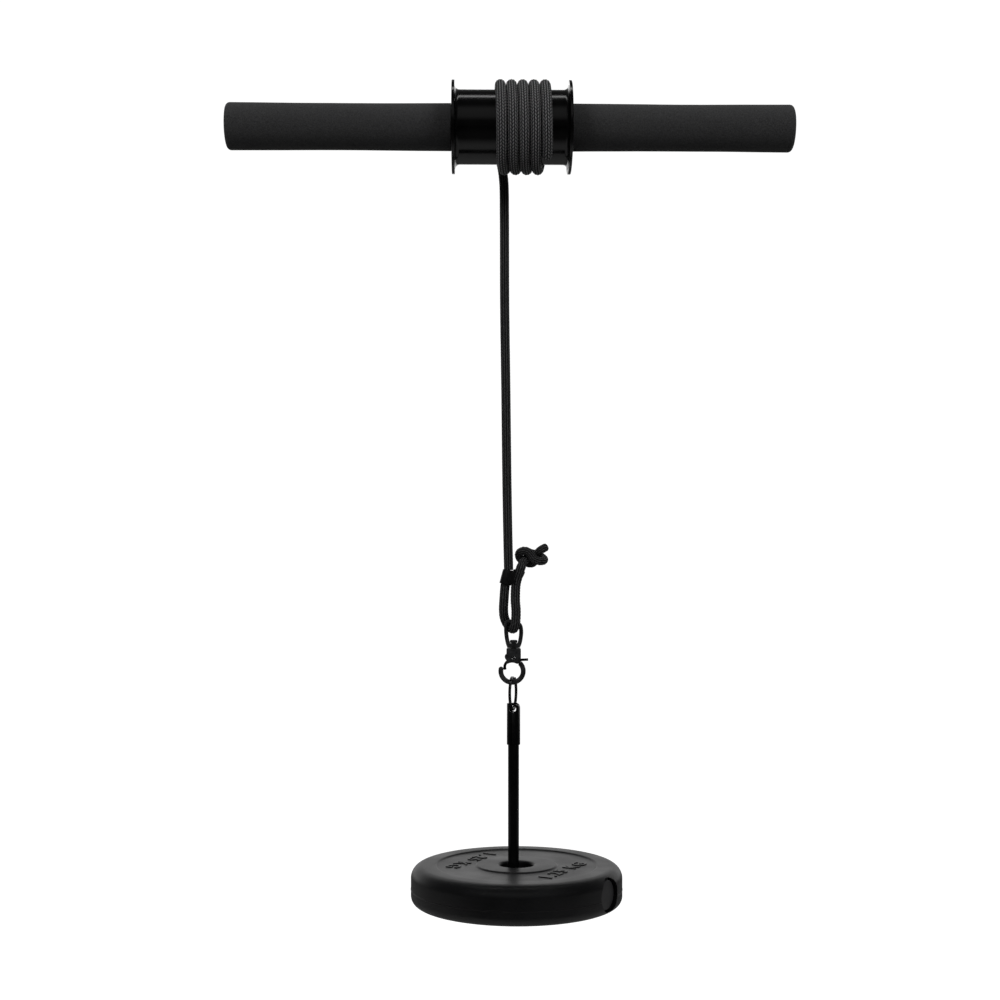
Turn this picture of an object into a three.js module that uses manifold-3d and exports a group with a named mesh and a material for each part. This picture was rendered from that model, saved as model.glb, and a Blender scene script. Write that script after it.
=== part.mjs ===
// Wrist roller: a foam-gripped bar with a rope drum, a swivel snap hook, a loading pin and a weight plate.
// Millimetres, +X along the bar, +Y to the back, +Z up, origin on the bar's axis at the drum's middle.
import * as THREE from 'three';
import { mergeVertices } from 'three/addons/utils/BufferGeometryUtils.js';
import Module from 'manifold-3d';

const wasm = await Module();
wasm.setup();

// Clearances and shared fineness
const seatGap = 0.3;
const pinClearance = 0.2;
const cutOverrun = 5;
const plateSides = 44;
const roundSides = 36;
const plugSides = 32;
const mediumSides = 28;
const smallSides = 18;
const wireSides = 10;
const ropeSides = 8;
const woundSides = 6;
const stepsPerLoop = 24;
const loopSteps = 40;

// Bar and grips
const overallLength = 418;
const drumWidth = 88;
const drumOffset = 0.8;
const tubeRadius = 12.5;
const tubeWall = 1.6;
const gripEndRadius = 17.2;
const gripMiddleRadius = 16.8;
const gripEndWall = 4;
const gripOuterCorner = 3;
const gripInnerCorner = 0.8;

// Drum
const barrelRadius = 26.9;
const barrelWall = 2.4;
const flareRadius = 4.5;
const flangeRadius = 33.8;
const flangeThickness = 2.2;
const flangeRimRound = 0.7;
const spigotWall = 2.6;
const spigotLength = 5;
const collarWall = 3.6;
const collarLength = 7;
const springPinRadius = 1.5;
const springPinWall = 0.55;
const springPinSlit = 0.6;
const springPinInset = 3.6;
const springPinShortfall = 0.5;

// Rope on the drum
const woundRopeRadius = 3.7;
const ropePitch = 8.2;
const firstTurnX = 24.3;
const woundTurns = 4.5;
const topOfDrumShare = 0.25;
const settlingShare = 0.16;
const anchorAngle = -60;
const anchorBend = 4.5;
const ropeHoleClearance = 0.6;
const crossingStartShare = 0.26;
const crossingSpanShare = 0.35;
const crossingStepShare = 0.65;
const anchorKnotWidth = 14.4;
const anchorKnotThickness = 8.4;
const anchorKnotShift = 2;

// Hanging rope
const ropeRadius = 3.45;
const loopRopeRadius = 3.2;
const dropLength = 319.6;
const loopLine = 2.4;
const crimpHeight = 10.4;
const crimpBarrelRadius = 4.5;
const crimpLeftX = -2.7;
const crimpRightX = 5.4;
const crimpStagger = 3;
const crimpLean = 0.26;
const crimpLip = 0.7;
const crimpMouthAngle = -45;
const crimpWaistShare = 0.8;
const eyeBarDrop = 27;

// Swivel eye
const eyeWireRadius = 1.35;
const eyeHalfWidth = 5.7;
const eyeBarHalf = 3.4;
const eyeBarSlope = 1.6;
const eyeShoulderDrop = 5.2;
const eyeFootHalf = 3.9;
const eyeWaistHalf = 4.9;
const eyeWaistRise = 4.1;
const eyeHeight = 17.7;
const eyeBaseThickness = 3.4;
const eyeBaseHalfWidth = 5.2;
const eyeBaseDepth = 6.8;

// Snap hook
const postRadius = 1.8;
const postHeadRadius = 2.9;
const postHeadThickness = 2.2;
const postHeadRound = 0.7;
const blockWidth = 10.9;
const blockHeight = 11.8;
const blockDepth = 6.6;
const blockChamfer = 0.9;
const blockBulge = 0.5;
const hookRadius = 8.4;
const hookWireRadius = 1.75;
const hookEyeDrop = 17.5;
const hookEyeShift = 1.2;
const hookStartAngle = 46;
const hookTipAngle = -191;
const pivotDrop = 7.5;
const pivotRadius = 1.15;
const pivotProud = 0.35;
const triggerThickness = 1.7;
const slotWidth = 2.3;
const triggerHubRadius = 2.5;
const gateWidth = 1.9;
const leverThickness = 1.6;
const leverReach = 11;
const leverDrop = 1.4;
const gateOpening = 25;
const springRadius = 1;
const springWireRadius = 0.2;
const springPitch = 0.95;
const springTurns = 3.2;
const springOffset = 2.9;
const springSeatShare = 0.62;
const shoulderRiseShare = 0.12;
// The gate's run from hub to tip about the hook's eye, in shares of the hook's radius
const gateRouteShares = [[-0.06, 1.12], [-0.4, 0.9], [-0.6, 0.65], [-0.67, 0.4], [-0.62, 0.14]];

// Split ring
const ringOuterRadius = 13;
const ringDepth = 2.4;
const ringLeafThickness = 0.85;
const ringLeafPitch = 1.3;
const ringEndShare = 0.09;
const ringYaw = 12;
const ringShift = 0.5;

// Loading pin
const pinShift = 0.1;
const rodRadius = 4.15;
const rodChamfer = 0.8;
const sleeveRadius = 5.05;
const sleeveLength = 31.3;
const sleeveSlit = 0.6;
const sleeveSlitAngle = 22;
const sleeveHoleRadius = 2.7;
const sleeveWeb = 1.25;
const sleeveSmallCorner = 0.8;
const sleeveLargeCorner = 4;
const baseDiscRadius = 30;
const baseDiscThickness = 4;
const baseDiscChamfer = 0.8;
const plateSeatDrop = 151.4;

// Weight plate
const plateRadius = 80;
const plateThickness = 29.5;
const plateShift = 2.3;
const plateBoreRadius = 12.75;
const plateTopRound = 9.3;
const plateFootRound = 6.8;
const plateBoreRound = 2.2;
const plateWall = 3;
const recessOuterRadius = 60.6;
const recessInnerRadius = 30.9;
const recessDepth = 1.1;
const recessWallRun = 0.5;
const partingRidge = 0.35;
const partingHalfWidth = 0.7;
const plugRadius = 11;
const plugRecessRadius = 12.8;
const plugRecessDepth = 3;
const plugDiscThickness = 2.4;
const plugStemRadius = 8.6;
const plugEdgeRound = 0.8;
const plugAzimuth = 58;
const plugBossRadius = 15.8;

// Places that follow from the sizes
const halfDrum = drumWidth / 2;
const flangeInner = halfDrum - flangeThickness;
const barrelBore = barrelRadius - barrelWall;
const windRadius = barrelRadius + seatGap + woundRopeRadius * Math.cos(Math.PI / woundSides);
const hangY = windRadius;
const dropTop = -2 * woundRopeRadius - seatGap;
const dropFoot = dropTop - dropLength;
const crimpTop = dropFoot - seatGap;
const crimpFoot = crimpTop - crimpHeight;
const crimpMiddle = (crimpTop + crimpFoot) / 2;
const eyeBarTop = crimpFoot - eyeBarDrop;
const eyeBaseTop = eyeBarTop - eyeHeight;
const blockTop = eyeBaseTop - eyeBaseThickness - seatGap;
const hookEyeZ = blockTop - hookEyeDrop;
const hookX = loopLine - hookEyeShift;
const hangX = loopLine - pinShift;
const ringX = hangX - ringShift;
const pivotZ = blockTop - pivotDrop;
const hookWireZ = hookEyeZ - hookRadius;
const ringCentreZ = hookWireZ + hookWireRadius + seatGap - (ringOuterRadius - ringDepth);
const ringMeanRadius = ringOuterRadius - ringDepth / 2;
const ringFootZ = ringCentreZ - ringMeanRadius;
const ringAxial = ringLeafThickness + ringLeafPitch;
const ringRiseInHole = ringMeanRadius - Math.sqrt(ringMeanRadius ** 2 - sleeveRadius ** 2);
const holeRise = Math.sqrt(sleeveHoleRadius ** 2 - (ringAxial / 2 + ringShift) ** 2);
const holeZ = ringFootZ + ringRiseInHole + ringDepth / 2 + seatGap - holeRise;
const sleeveTop = holeZ + sleeveHoleRadius + sleeveWeb;
const sleeveFoot = sleeveTop - sleeveLength;
const rodTop = holeZ - sleeveHoleRadius - seatGap;
const plateFoot = sleeveTop - plateSeatDrop;
const plateMiddle = plateFoot + plateThickness / 2;
const plateX = hangX + plateShift;
const baseTop = plateFoot - seatGap;
const baseFoot = baseTop - baseDiscThickness;

const radians = THREE.MathUtils.degToRad;
const point = (x, y, z) => new THREE.Vector3(x, y, z);

// Finishes
const finish = (color, roughness, metalness) => (
  new THREE.MeshStandardMaterial({ color, roughness, metalness })
);
const finishes = {
  steel: finish(0x8f9296, 0.35, 1),
  foam: finish(0x141415, 0.95, 0),
  drum: finish(0x0b0b0c, 0.22, 0.1),
  rope: finish(0x2b2b2e, 0.6, 0),
  crimp: finish(0x1c1c1f, 0.45, 0.6),
  casting: finish(0x55565a, 0.38, 1),
  rod: finish(0x242426, 0.4, 0.8),
  shell: finish(0x121213, 0.5, 0),
  cement: finish(0x8d8a84, 0.95, 0),
  plug: finish(0x0e0e0f, 0.4, 0),
};

const part = new THREE.Group();

function place(name, geometry, material, parent = part) {
  const mesh = new THREE.Mesh(geometry, material);
  mesh.name = name;
  parent.add(mesh);
  return mesh;
}

// A closed geometry with shared corners and its faces pointing out
function closed(geometry) {
  const bare = geometry.clone();
  bare.deleteAttribute('normal');
  bare.deleteAttribute('uv');
  const merged = mergeVertices(bare);
  const corners = merged.attributes.position;
  const index = Array.from(merged.index.array);
  const faces = [];
  let volume = 0;
  const [a, b, c] = [point(0, 0, 0), point(0, 0, 0), point(0, 0, 0)];
  for (let i = 0; i < index.length; i += 3) {
    const [p, q, r] = index.slice(i, i + 3);
    if (p === q || q === r || r === p) continue;
    a.fromBufferAttribute(corners, p);
    b.fromBufferAttribute(corners, q);
    c.fromBufferAttribute(corners, r);
    volume += a.dot(b.cross(c));
    faces.push([p, q, r]);
  }
  if (volume < 0) faces.forEach((face) => face.reverse());
  merged.setIndex(faces.flat());
  return merged;
}

function toSolid(geometry) {
  const ready = closed(geometry);
  const mesh = new wasm.Mesh({
    numProp: 3,
    vertProperties: new Float32Array(ready.attributes.position.array),
    triVerts: new Uint32Array(ready.index.array),
  });
  return new wasm.Manifold(mesh);
}

function toGeometry(solid) {
  const mesh = solid.getMesh();
  const geometry = new THREE.BufferGeometry();
  const corners = new Float32Array(mesh.vertProperties);
  geometry.setAttribute('position', new THREE.BufferAttribute(corners, mesh.numProp));
  geometry.setIndex(new THREE.BufferAttribute(new Uint32Array(mesh.triVerts), 1));
  return geometry;
}

function joined(geometries) {
  return geometries.map(toSolid).reduce((sum, solid) => sum.add(solid));
}

function cut(geometry, tools) {
  const solid = tools.map(toSolid).reduce((rest, tool) => rest.subtract(tool), toSolid(geometry));
  return toGeometry(solid);
}

// A quarter round between two edges of a profile, as points [radius, height]
function corner(radius, height, round, fromAngle, toAngle, steps = 4) {
  const points = [];
  for (let i = 0; i <= steps; i += 1) {
    const angle = radians(fromAngle + ((toAngle - fromAngle) * i) / steps);
    points.push([radius + round * Math.cos(angle), height + round * Math.sin(angle)]);
  }
  return points;
}

// A solid of revolution about Z from a profile of [radius, height] points
function turned(profile, sides = roundSides) {
  const points = profile.map(([radius, height]) => new THREE.Vector2(Math.max(radius, 0), height));
  points.push(points[0].clone());
  return closed(new THREE.LatheGeometry(points, sides).rotateX(Math.PI / 2));
}

// The same about X, with the profile's height along +X
function turnedAlongX(profile, sides = roundSides) {
  return turned(profile, sides).rotateY(Math.PI / 2);
}

function rod(radius, length, sides = smallSides) {
  return new THREE.CylinderGeometry(radius, radius, length, sides).rotateX(Math.PI / 2);
}

function block(width, depth, height, centre) {
  return new THREE.BoxGeometry(width, depth, height).translate(centre.x, centre.y, centre.z);
}

function ring(radius, sides, turn = 0) {
  const shape = new THREE.Shape();
  for (let i = 0; i < sides; i += 1) {
    const angle = turn + (i * 2 * Math.PI) / sides;
    const [x, y] = [radius * Math.cos(angle), radius * Math.sin(angle)];
    if (i === 0) shape.moveTo(x, y);
    else shape.lineTo(x, y);
  }
  shape.closePath();
  return shape;
}

// A tube along an open curve, with flat ends
function tube(curve, radius, steps, sides = wireSides) {
  const section = ring(radius, sides);
  return closed(new THREE.ExtrudeGeometry(section, { steps, extrudePath: curve, curveSegments: sides }));
}

// A flat outline in X and Z, given thickness along Y about the middle
function sheet(shape, thickness, curveSegments = 8) {
  const flat = new THREE.ExtrudeGeometry(shape, { depth: thickness, bevelEnabled: false, curveSegments });
  return flat.translate(0, 0, -thickness / 2).rotateX(Math.PI / 2);
}

// One unbroken wound strip or tube: each station has a place, an outward and a sideways direction
function wound(stations, section) {
  const sides = section.length;
  const corners = [];
  for (const { place: middle, outward, sideways } of stations) {
    for (const [out, side] of section) {
      const edge = middle.clone().addScaledVector(outward, out).addScaledVector(sideways, side);
      corners.push(edge.x, edge.y, edge.z);
    }
  }
  const faces = [];
  for (let i = 0; i + 1 < stations.length; i += 1) {
    for (let j = 0; j < sides; j += 1) {
      const [p, q] = [i * sides + j, i * sides + ((j + 1) % sides)];
      faces.push(p, q, q + sides, p, q + sides, p + sides);
    }
  }
  const last = (stations.length - 1) * sides;
  for (let j = 1; j + 1 < sides; j += 1) {
    faces.push(0, j + 1, j, last, last + j, last + j + 1);
  }
  const geometry = new THREE.BufferGeometry();
  geometry.setAttribute('position', new THREE.Float32BufferAttribute(corners, 3));
  geometry.setIndex(faces);
  return closed(geometry);
}

const roundSection = (radius, sides) => Array.from({ length: sides }, (_, i) => {
  const angle = ((i + 0.5) * 2 * Math.PI) / sides;
  return [radius * Math.cos(angle), radius * Math.sin(angle)];
});

// Least distance between parts of a wound path that are more than one reach apart along it
function leastSpacing(stations, reach) {
  let least = Infinity;
  const along = [0];
  for (let i = 1; i < stations.length; i += 1) {
    along.push(along[i - 1] + stations[i].place.distanceTo(stations[i - 1].place));
  }
  for (let i = 0; i < stations.length; i += 1) {
    for (let j = i + 1; j < stations.length; j += 1) {
      const apart = stations[i].place.distanceTo(stations[j].place);
      if (along[j] - along[i] > reach) least = Math.min(least, apart);
    }
  }
  return least;
}

// Stations along a path, each turned so that its outward side faces its hint
function framed(places, hints) {
  return places.map((middle, i) => {
    const before = places[Math.max(i - 1, 0)];
    const after = places[Math.min(i + 1, places.length - 1)];
    const forward = after.clone().sub(before).normalize();
    const outward = hints[i].clone().addScaledVector(forward, -hints[i].dot(forward)).normalize();
    return { place: middle, outward, sideways: forward.clone().cross(outward) };
  });
}

// Sideways and outward directions carried along a path without twist
function carried(places, firstOutward) {
  const stations = [];
  let outward = firstOutward.clone();
  for (let i = 0; i < places.length; i += 1) {
    const before = places[Math.max(i - 1, 0)];
    const after = places[Math.min(i + 1, places.length - 1)];
    const forward = after.clone().sub(before).normalize();
    outward = outward.clone().addScaledVector(forward, -outward.dot(forward)).normalize();
    stations.push({ place: places[i], outward, sideways: forward.clone().cross(outward) });
  }
  return stations;
}

// Bar: one tube, cross-drilled for the two spring pins
const pinX = flangeInner - springPinInset;

function crossHoles() {
  const radius = springPinRadius + pinClearance;
  return [-pinX, pinX].map((x) => rod(radius, 2 * (tubeRadius + collarWall) + cutOverrun).translate(x, 0, 0));
}

// The drum sits a little right of the bar's middle, so the left grip is the longer
const gripLength = (side) => overallLength / 2 - side * drumOffset - halfDrum - seatGap;
const tubeEnd = (side) => side * (halfDrum + gripLength(side) - gripEndWall);

function makeBar() {
  const bore = tubeRadius - tubeWall;
  const [left, right] = [tubeEnd(-1), tubeEnd(1)];
  const profile = [[bore, left], [tubeRadius, left], [tubeRadius, right], [bore, right]];
  place('bar_tube', cut(turnedAlongX(profile), crossHoles()), finishes.steel);
}

// Grips: slightly waisted foam sleeves with closed, rounded outer ends
function makeGrip(name, side) {
  const bore = tubeRadius + seatGap;
  const length = gripLength(side);
  const boreEnd = length - gripEndWall;
  const start = gripInnerCorner;
  const finishAt = length - gripOuterCorner;
  const outer = [];
  const waistSteps = 4;
  for (let i = 0; i <= waistSteps; i += 1) {
    const share = i / waistSteps;
    const drawnIn = (gripEndRadius - gripMiddleRadius) * Math.sin(Math.PI * share);
    outer.push([gripEndRadius - drawnIn, start + (finishAt - start) * share]);
  }
  const profile = [
    [bore, 0],
    ...corner(gripEndRadius - gripInnerCorner, start, gripInnerCorner, -90, 0, 3).slice(0, -1),
    ...outer,
    ...corner(gripEndRadius - gripOuterCorner, finishAt, gripOuterCorner, 0, 90).slice(1),
    [0, length],
    [0, boreEnd],
    [bore, boreEnd],
  ];
  const grip = turnedAlongX(profile).translate(halfDrum + seatGap, 0, 0);
  if (side < 0) grip.rotateZ(Math.PI);
  place(name, grip, finishes.foam);
}

// Wound rope: X falls by one pitch a turn, mostly in a crossing low on the drum's back
function windX(turns) {
  const fromTop = turns - topOfDrumShare;
  const whole = Math.floor(fromTop);
  const rest = fromTop - whole;
  const crossingEndShare = crossingStartShare + crossingSpanShare;
  const crossing = THREE.MathUtils.smoothstep(rest, crossingStartShare, crossingEndShare);
  return firstTurnX - ropePitch * (whole + (1 - crossingStepShare) * rest + crossingStepShare * crossing);
}

// Directions at an angle that starts at the front and rises over the top
const outwardAt = (angle) => point(0, -Math.cos(angle), Math.sin(angle));
const forwardAt = (angle) => point(0, Math.sin(angle), Math.cos(angle));
const anchorTurn = radians(anchorAngle);
const anchorX = windX(anchorAngle / 360);
const knotMiddleRadius = tubeRadius + seatGap + anchorKnotThickness / 2;
const tangentX = windX(woundTurns);

function windingStations() {
  const places = [];
  const hints = [];
  const [outward, forward] = [outwardAt(anchorTurn), forwardAt(anchorTurn)];
  const bendAngle = Math.asin(anchorBend / windRadius);
  const bendRadius = windRadius * Math.cos(bendAngle) - anchorBend;
  const from = knotMiddleRadius + anchorKnotThickness / 2 + seatGap;
  places.push(point(anchorX, 0, 0).addScaledVector(outward, from));
  hints.push(forward.clone().negate());
  const bendSteps = 5;
  for (let i = 0; i < bendSteps; i += 1) {
    const bend = (i / bendSteps) * (Math.PI / 2);
    const along = point(anchorX, 0, 0).addScaledVector(outward, bendRadius + anchorBend * Math.sin(bend));
    places.push(along.addScaledVector(forward, anchorBend * (1 - Math.cos(bend))));
    hints.push(outward.clone().multiplyScalar(Math.sin(bend)).addScaledVector(forward, -Math.cos(bend)));
  }
  const start = anchorTurn + bendAngle;
  const end = woundTurns * 2 * Math.PI;
  const steps = Math.round(((end - start) / (2 * Math.PI)) * stepsPerLoop);
  for (let i = 0; i <= steps; i += 1) {
    const angle = start + ((end - start) * i) / steps;
    const settled = THREE.MathUtils.smoothstep(angle, start, start + settlingShare * 2 * Math.PI);
    const x = THREE.MathUtils.lerp(anchorX, windX(angle / (2 * Math.PI)), settled);
    places.push(point(x, 0, 0).addScaledVector(outwardAt(angle), windRadius));
    hints.push(outwardAt(angle));
  }
  places.push(point(tangentX, hangY, -woundRopeRadius));
  places.push(point(tangentX, hangY, -2 * woundRopeRadius));
  hints.push(outwardAt(end), outwardAt(end));
  return framed(places, hints);
}

function makeWinding() {
  const stations = windingStations();
  const gap = leastSpacing(stations, 4 * woundRopeRadius) - 2 * woundRopeRadius;
  console.log('rope winding, least gap to itself:', gap.toFixed(2), 'mm');
  place('rope_winding', wound(stations, roundSection(woundRopeRadius, woundSides)), finishes.rope);
}

function makeAnchorKnot() {
  const half = anchorKnotWidth / 2;
  const knot = new THREE.SphereGeometry(1, 12, 8).scale(half, anchorKnotThickness / 2, half);
  knot.rotateX(-anchorTurn);
  const middle = point(anchorX - anchorKnotShift, 0, 0);
  middle.addScaledVector(outwardAt(anchorTurn), knotMiddleRadius);
  place('rope_anchor_knot', closed(knot.translate(middle.x, middle.y, middle.z)), finishes.rope);
}

// Drum: a flared barrel between two flanges, each with a spigot and a hub collar
function makeBarrel() {
  const half = flangeInner - seatGap;
  const flare = barrelRadius + flareRadius;
  const profile = [
    [barrelBore, -half],
    ...corner(flare, flareRadius - half, flareRadius, -90, -180, 3),
    ...corner(flare, half - flareRadius, flareRadius, 180, 90, 3),
    [barrelBore, half],
  ];
  const hole = rod(woundRopeRadius + ropeHoleClearance, barrelRadius);
  hole.translate(0, 0, -barrelRadius).rotateX(-Math.PI / 2 - anchorTurn).translate(anchorX, 0, 0);
  place('drum_barrel', cut(turnedAlongX(profile), [hole]), finishes.drum);
}

function makeFlange(name, side) {
  const hub = tubeRadius + pinClearance;
  const collar = tubeRadius + collarWall;
  const spigot = barrelBore - seatGap;
  const rim = flangeRadius - flangeRimRound;
  const profile = [
    [hub, flangeInner - collarLength],
    [collar, flangeInner - collarLength],
    [collar, flangeInner],
    [spigot - spigotWall, flangeInner],
    [spigot - spigotWall, flangeInner - spigotLength],
    [spigot, flangeInner - spigotLength],
    [spigot, flangeInner],
    ...corner(rim, flangeInner + flangeRimRound, flangeRimRound, -90, 0, 2),
    ...corner(rim, halfDrum - flangeRimRound, flangeRimRound, 0, 90, 2),
    [hub, halfDrum],
  ];
  const flange = turnedAlongX(profile);
  if (side < 0) flange.rotateZ(Math.PI);
  place(name, cut(flange, crossHoles()), finishes.drum);
}

// Spring pin: a rolled, slit pin across the collar and the bar
function makeSpringPin(name, side) {
  const inner = springPinRadius - springPinWall;
  const slit = Math.asin(springPinSlit / 2 / springPinRadius);
  const shape = new THREE.Shape();
  shape.absarc(0, 0, springPinRadius, slit, 2 * Math.PI - slit, false);
  shape.absarc(0, 0, inner, 2 * Math.PI - slit, slit, true);
  shape.closePath();
  const length = 2 * (tubeRadius + collarWall - springPinShortfall);
  const pin = new THREE.ExtrudeGeometry(shape, { depth: length, bevelEnabled: false, curveSegments: 10 });
  place(name, closed(pin.translate(side * pinX, 0, -length / 2)), finishes.steel);
}

// Hanging rope: the straight stretch from the drum's back down to the clip
const dropRoute = [
  point(tangentX, hangY, dropTop),
  point(tangentX + 0.1, hangY, dropTop - 2),
  point(-8.2, hangY, -14.5),
  point(-6.3, hangY, -23),
  point(-5.0, hangY, -34),
  point(-4.6, hangY, -60),
  point(-4.4, hangY, -124),
  point(-3.5, hangY, -192),
  point(-2.7, hangY, -260),
  point(-1.9, hangY, -306),
  point(-1.4, hangY, dropFoot),
];

function makeDrop() {
  const curve = new THREE.CatmullRomCurve3(dropRoute, false, 'centripetal');
  place('rope_drop', tube(curve, ropeRadius, 36, ropeSides), finishes.rope);
}

// Overhand knot: a trefoil run on edge, opened at its front lobe, with a bent lead and a bent cut end
const knotCentre = point(16.2, hangY + 5, crimpTop + 10.4);
const knotRadius = 7;
const knotRipple = 3.2;
const knotRise = 4;
const knotRopeRadius = 2.9;
const knotTilt = -10;
const knotOpening = 0.62;
const knotKeyPoints = 30;
const knotSteps = 60;
const knotLead = [point(-2.2, -4.6, -4.2), point(-1.2, -2.7, -1.2)];
const knotTail = [point(1.2, -2.6, 0.7), point(3.6, -3.4, 1.9), point(5.8, -2.6, 3.2)];

function knotStations() {
  const run = [];
  for (let i = 0; i <= knotKeyPoints; i += 1) {
    const t = knotOpening + (2 * Math.PI - 2 * knotOpening) * (i / knotKeyPoints);
    const radius = knotRadius + knotRipple * Math.cos(3 * t);
    run.push(point(-radius * Math.sin(2 * t), -radius * Math.cos(2 * t), -knotRise * Math.sin(3 * t)));
  }
  const lead = knotLead.map((step) => step.clone().add(run[0]));
  const tail = knotTail.map((step) => step.clone().add(run[knotKeyPoints]));
  const turn = new THREE.Euler(radians(knotTilt), 0, 0);
  const keys = [...lead, ...run, ...tail].map((key) => key.applyEuler(turn).add(knotCentre));
  const places = new THREE.CatmullRomCurve3(keys, false, 'centripetal').getSpacedPoints(knotSteps);
  return carried(places, point(0, 1, 0));
}

const knotRun = knotStations();
const knotStart = knotRun[0].place;
const knotHeading = knotRun[1].place.clone().sub(knotStart).normalize();

function makeKnot() {
  const gap = leastSpacing(knotRun, 4 * knotRopeRadius) - 2 * knotRopeRadius;
  console.log('tail knot, least gap to itself:', gap.toFixed(2), 'mm');
  place('rope_tail_knot', wound(knotRun, roundSection(knotRopeRadius, woundSides)), finishes.rope);
}

// End loop: down through the clip, under the eye's bar from back to front, and up to the clip's cradle
const cradleY = hangY - crimpStagger;
const loopRoute = [
  point(-1.5, hangY, crimpTop),
  point(-1.6, hangY, crimpTop - 1.8),
  point(crimpLeftX, hangY, crimpMiddle),
  point(-3.9, hangY + 0.2, crimpFoot),
  point(-4.9, hangY + 1.6, crimpFoot - 11.9),
  point(-5.2, hangY + 3.4, crimpFoot - 19.4),
  point(-3.9, hangY + 5.1, eyeBarTop + 1.5),
  point(-1.0, hangY + 4.9, eyeBarTop - 3.6),
  point(2.2, hangY, eyeBarTop - 6.8),
  point(3.5, hangY - 4.9, eyeBarTop - 3.2),
  point(4.0, hangY - 5.3, eyeBarTop + 1.6),
  point(4.1, cradleY - 1.8, crimpFoot - 19.4),
  point(3.6, cradleY - 0.8, crimpFoot - 11.9),
  point(4.1, cradleY, crimpFoot),
  point(crimpRightX, cradleY, crimpMiddle),
  knotStart.clone().addScaledVector(knotHeading, -seatGap - loopRopeRadius),
  knotStart.clone().addScaledVector(knotHeading, -seatGap),
];

const loopCurve = new THREE.CatmullRomCurve3(loopRoute, false, 'centripetal');

function makeLoop() {
  place('rope_loop', tube(loopCurve, loopRopeRadius, loopSteps, ropeSides), finishes.rope);
}

// Clip: a closed barrel on the standing run and an open cradle for the tail in front, leaning with both
function makeCrimp() {
  const [left, right] = [point(crimpLeftX, 0, 0), point(crimpRightX, -crimpStagger, 0)];
  const barrel = rod(crimpBarrelRadius, crimpHeight, mediumSides);
  const barrels = [left, right].map(({ x, y }) => barrel.clone().translate(x, y, 0));
  const apart = right.clone().sub(left);
  const waist = 2 * crimpBarrelRadius * crimpWaistShare;
  const web = block(apart.length(), waist, crimpHeight, point(0, 0, 0)).rotateZ(Math.atan2(apart.y, apart.x));
  web.translate((left.x + right.x) / 2, (left.y + right.y) / 2, 0);
  const across = 2 * crimpBarrelRadius;
  const mouth = block(across, across, crimpHeight + cutOverrun, point(crimpLip + crimpBarrelRadius, 0, 0));
  mouth.rotateZ(radians(crimpMouthAngle)).translate(right.x, right.y, 0);
  const body = toGeometry(joined([...barrels, web]).subtract(toSolid(mouth)));
  const [alongX, alongY, alongZ] = [point(1, 0, 0), point(0, 1, 0), point(crimpLean, 0, 1)];
  body.applyMatrix4(new THREE.Matrix4().makeBasis(alongX, alongY, alongZ).setPosition(0, hangY, crimpMiddle));
  const bore = tube(loopCurve, loopRopeRadius + seatGap, loopSteps, ropeSides);
  const lead = rod(loopRopeRadius + seatGap, cutOverrun).translate(loopRoute[0].x, hangY, crimpTop);
  place('rope_crimp', cut(body, [bore, lead]), finishes.crimp);
}

// Swivel eye: a bent wire on a bored base
function makeEye() {
  const barZ = eyeBarTop - eyeWireRadius;
  const half = [
    [eyeFootHalf, eyeBaseTop - eyeBaseThickness / 2],
    [eyeWaistHalf, eyeBaseTop - eyeBaseThickness / 2 + eyeWaistRise],
    [eyeHalfWidth, barZ - eyeShoulderDrop],
    [(eyeHalfWidth + eyeBarHalf) / 2, barZ],
  ];
  const fall = (sign, i) => (sign > 0 ? (eyeBarSlope * i) / (half.length - 1) : 0);
  const side = (sign) => half.map(([x, z], i) => point(loopLine + sign * x, hangY, z - fall(sign, i)));
  const bar = [
    point(loopLine - eyeBarHalf / 2, hangY, barZ),
    point(loopLine + eyeBarHalf / 2, hangY, barZ - eyeBarSlope / 2),
  ];
  const path = new THREE.CatmullRomCurve3([...side(-1), ...bar, ...side(1).reverse()], false, 'centripetal');
  const shape = new THREE.Shape();
  const [w, d] = [eyeBaseHalfWidth - eyeBaseDepth / 2, eyeBaseDepth / 2];
  shape.absarc(w, 0, d, -Math.PI / 2, Math.PI / 2, false);
  shape.absarc(-w, 0, d, Math.PI / 2, (3 * Math.PI) / 2, false);
  shape.closePath();
  const thickness = { depth: eyeBaseThickness, bevelEnabled: false, curveSegments: 10 };
  const base = new THREE.ExtrudeGeometry(shape, thickness);
  base.translate(loopLine, hangY, eyeBaseTop - eyeBaseThickness);
  const bore = rod(postRadius + pinClearance, eyeBaseThickness + cutOverrun);
  bore.translate(loopLine, hangY, eyeBaseTop - eyeBaseThickness / 2);
  const solid = joined([tube(path, eyeWireRadius, stepsPerLoop, ropeSides), base]).subtract(toSolid(bore));
  place('swivel_eye', toGeometry(solid), finishes.casting);
}

// Hook: a slotted block with a headed post above and a round hook below
const hookPlace = (angle, radius) => point(
  hookX + radius * Math.cos(radians(angle)), hangY, hookEyeZ + radius * Math.sin(radians(angle)),
);

class HookArc extends THREE.Curve {
  getPoint(share, target = new THREE.Vector3()) {
    return target.copy(hookPlace(hookStartAngle + (hookTipAngle - hookStartAngle) * share, hookRadius));
  }
}

function blockShape() {
  const half = blockWidth / 2;
  const foot = -blockHeight;
  const shape = new THREE.Shape();
  shape.moveTo(-half + blockChamfer, 0);
  shape.lineTo(-half, -blockChamfer);
  shape.quadraticCurveTo(-half - blockBulge, -blockHeight / 2, -half, foot + blockChamfer);
  shape.lineTo(-half + blockChamfer, foot);
  shape.lineTo(half - blockChamfer, foot);
  shape.lineTo(half, foot + blockChamfer);
  shape.lineTo(half, -blockChamfer);
  shape.lineTo(half - blockChamfer, 0);
  shape.closePath();
  return shape;
}

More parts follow.
